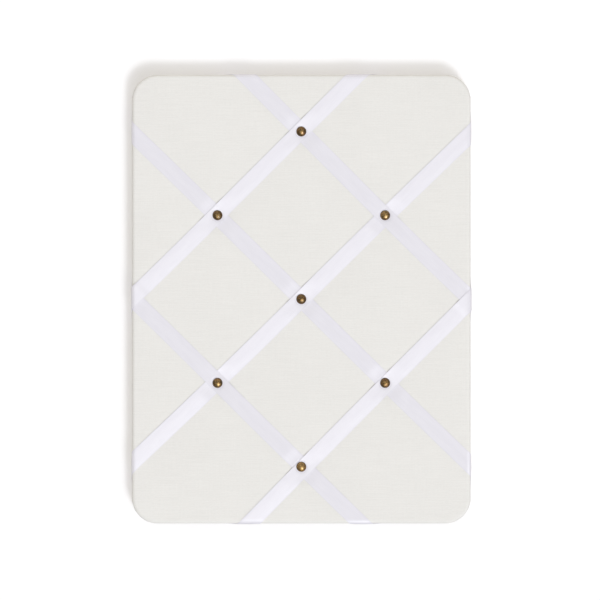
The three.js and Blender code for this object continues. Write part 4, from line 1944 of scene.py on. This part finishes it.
@dataclass
class Studio:
    """White wall, pale floor, soft light from the lower right and off the wall, and the camera."""

    lens: float = 200.0
    frame_width: float = 0.6755
    outline_depth: float = 0.0226
    aim: tuple[float, float] = (-0.0015, -0.0010)
    wall_glow: float = 0.219
    wall_tint: Colour = (1.0, 0.945, 0.87)
    world: float = 0.367
    world_tint: Colour = (1.0, 0.975, 0.945)
    backdrop: float = 1.0
    core_strength: float = 1.0
    core_softness: float = math.radians(14.0)
    halo_strength: float = 1.0
    halo_softness: float = math.radians(50.0)
    key_way: Place = (0.352, -1.0, -0.655)
    key_tint: Colour = (0.99, 1.0, 1.035)
    fill_strength: float = 0.60
    fill_softness: float = math.radians(110.0)
    fill_way: Place = (0.1, -1.0, 1.3)
    fill_tint: Colour = (1.0, 0.94, 0.87)
    bounce_strength: float = 1.8
    bounce_softness: float = math.radians(150.0)
    bounce_way: Place = (-0.35, 1.0, 0.7)
    rear_power: float = 4.0
    rear_size: float = 1.0
    rear_place: Place = (0.9, 1.5, -0.5)
    wall_size: float = 16.0
    wall_gap: float = 0.0004
    wall_dark: Colour = (0.814, 0.828, 0.856)
    wall_light: Colour = (0.834, 0.848, 0.876)
    floor_size: float = 24.0
    floor_middle: Place = (4.0, -4.0, -1.5)
    floor_dark: Colour = (0.80, 0.80, 0.79)
    floor_light: Colour = (0.86, 0.86, 0.85)

    def place_camera(self) -> bpy.types.Object:
        """Put the camera straight in front, where the board fills the photograph's part of the frame.

        Returns:
            The camera.
        """
        data = bpy.data.cameras.new("camera")
        data.lens = self.lens
        data.sensor_width = 36.0
        data.clip_start = 0.01
        camera = bpy.data.objects.new("camera", data)
        distance = self.frame_width * self.lens / data.sensor_width
        camera.location = (self.aim[0], -self.outline_depth - distance, self.aim[1])
        camera.rotation_euler = (math.pi / 2, 0.0, 0.0)
        bpy.context.scene.collection.objects.link(camera)
        bpy.context.scene.camera = camera
        return camera

    def light(self, name: str, power: float, size: float, place: Place) -> bpy.types.Object:
        """Hang a square soft light that faces the board.

        Args:
            name: Name of the light.
            power: Power in watts.
            size: Side of the square.
            place: Where it hangs.

        Returns:
            The light.
        """
        data = bpy.data.lights.new(name, "AREA")
        data.energy = power
        data.size = size
        light = bpy.data.objects.new(name, data)
        light.location = place
        light.rotation_euler = (-Vector(place)).to_track_quat("-Z", "Y").to_euler()
        bpy.context.scene.collection.objects.link(light)
        return light

    def broad_light(
        self, name: str, strength: float, softness: float, way: Place, tint: Colour
    ) -> bpy.types.Object:
        """Shine a broad, even light from one side.

        Args:
            name: Name of the light.
            strength: Strength of the light.
            softness: Angle that it fills, seen from the board.
            way: Way from the board to the light.
            tint: Its colour.

        Returns:
            The light.
        """
        data = bpy.data.lights.new(name, "SUN")
        data.energy = strength
        data.angle = softness
        data.color = tint
        light = bpy.data.objects.new(name, data)
        light.rotation_euler = (-Vector(way)).to_track_quat("-Z", "Y").to_euler()
        bpy.context.scene.collection.objects.link(light)
        return light

    def set_world(self) -> None:
        """Fill the studio with even light, in front of a white backdrop."""
        world = bpy.data.worlds.new("studio")
        world.use_nodes = True
        tree = world.node_tree
        fill = tree.nodes["Background"]
        fill.inputs["Color"].default_value = (*self.world_tint, 1.0)
        fill.inputs["Strength"].default_value = self.world
        seen = tree.nodes.new("ShaderNodeBackground")
        seen.inputs["Color"].default_value = (1.0, 1.0, 1.0, 1.0)
        seen.inputs["Strength"].default_value = self.backdrop
        # The camera sees the backdrop, and the fill lights all the rest.
        path = tree.nodes.new("ShaderNodeLightPath")
        either = tree.nodes.new("ShaderNodeMixShader")
        tree.links.new(path.outputs["Is Camera Ray"], either.inputs[0])
        tree.links.new(fill.outputs[0], either.inputs[1])
        tree.links.new(seen.outputs[0], either.inputs[2])
        tree.links.new(either.outputs[0], tree.nodes["World Output"].inputs["Surface"])
        bpy.context.scene.world = world

    def wall_finish(self) -> bpy.types.Material:
        """White wall paint that is seen from the room only.

        Returns:
            The material.
        """
        graph = Graph("white_wall")
        grain = graph.noise(graph.place((60.0, 60.0, 60.0)), 3.0)
        colour = graph.mix(grain, self.wall_dark, self.wall_light)
        graph.surface(
            Base_Color=colour,
            Roughness=1.0,
            Specular_IOR_Level=0.0,
            Emission_Color=self.wall_tint,
            Emission_Strength=self.wall_glow,
        )
        clear = graph.add("ShaderNodeBsdfTransparent")
        turned = graph.add("ShaderNodeNewGeometry")
        either = graph.add("ShaderNodeMixShader")
        graph.feed(turned.outputs["Backfacing"], either.inputs[0])
        graph.feed(graph.shader.outputs[0], either.inputs[1])
        graph.feed(clear.outputs[0], either.inputs[2])
        graph.feed(either.outputs[0], graph.tree.nodes["Material Output"].inputs["Surface"])
        return graph.material

    def floor_finish(self) -> bpy.types.Material:
        """Pale floor paint.

        Returns:
            The material.
        """
        graph = Graph("pale_floor")
        grain = graph.noise(graph.place((9.0, 9.0, 9.0)), 3.0)
        colour = graph.mix(grain, self.floor_dark, self.floor_light)
        return graph.surface(Base_Color=colour, Roughness=0.9)

    def build_room(self) -> None:
        """Stand the wall just behind the board, and lay the floor below it."""
        bpy.ops.object.select_all(action="DESELECT")
        upright = (math.pi / 2, 0.0, 0.0)
        behind = (0.0, self.wall_gap, 0.0)
        bpy.ops.mesh.primitive_plane_add(size=self.wall_size, location=behind, rotation=upright)
        wall = bpy.context.object
        wall.name = "studio_wall"
        wall.data.materials.append(self.wall_finish())
        bpy.ops.mesh.primitive_plane_add(size=self.floor_size, location=self.floor_middle)
        floor = bpy.context.object
        floor.name = "studio_floor"
        floor.data.materials.append(self.floor_finish())
        # The lights shine past both, so that they neither shade nor tint the board.
        for plane in (wall, floor):
            plane.visible_shadow = False
            plane.visible_diffuse = False
            plane.visible_glossy = False

    def build(self) -> None:
        """Set up the room, the lights and the camera."""
        bpy.context.scene.view_settings.view_transform = "Standard"
        self.set_world()
        self.build_room()
        self.broad_light("key_core", self.core_strength, self.core_softness, self.key_way, self.key_tint)
        self.broad_light("key_halo", self.halo_strength, self.halo_softness, self.key_way, self.key_tint)
        self.broad_light("top_fill", self.fill_strength, self.fill_softness, self.fill_way, self.fill_tint)
        self.broad_light(
            "wall_bounce", self.bounce_strength, self.bounce_softness, self.bounce_way, self.wall_tint
        )
        self.light("rear_light", self.rear_power, self.rear_size, self.rear_place)
        self.place_camera()


def report(pieces: list[bpy.types.Object]) -> None:
    """Log each piece with its number of faces.

    Args:
        pieces: The pieces.
    """
    for piece in pieces:
        LOG.info("%s: %d faces", piece.name, len(piece.data.polygons))


def main() -> None:
    """Build and dress the board, piece by piece."""
    logging.basicConfig(level=logging.INFO, format="%(message)s")
    Studio().build()
    form = BoardForm()
    swell = Swell(form, RibbonLattice.width / 2)
    swell.simulate()
    steel = ZincSteel().make()
    cover = PaddedCover(form, swell)
    report([cover.build_cloth(WovenCotton().make()), cover.build_wadding(PolyesterWadding().make())])
    lattice = RibbonLattice(form, swell)
    report(lattice.build(SatinRibbon(lattice.width).make()))
    report(DomedNails(form).build(AntiqueBrass().make()))
    back = BackCover(form)
    report([back.build_board(Hardboard().make())])
    report(back.build_staples(steel))
    for side in Side:
        report(Hanger(side).build(steel))
    report(WallBumpers().build(PressedFelt().make()))
    report(HiddenParts().dress(Fibreboard().make(), steel))


if __name__ == "__main__":
    main()
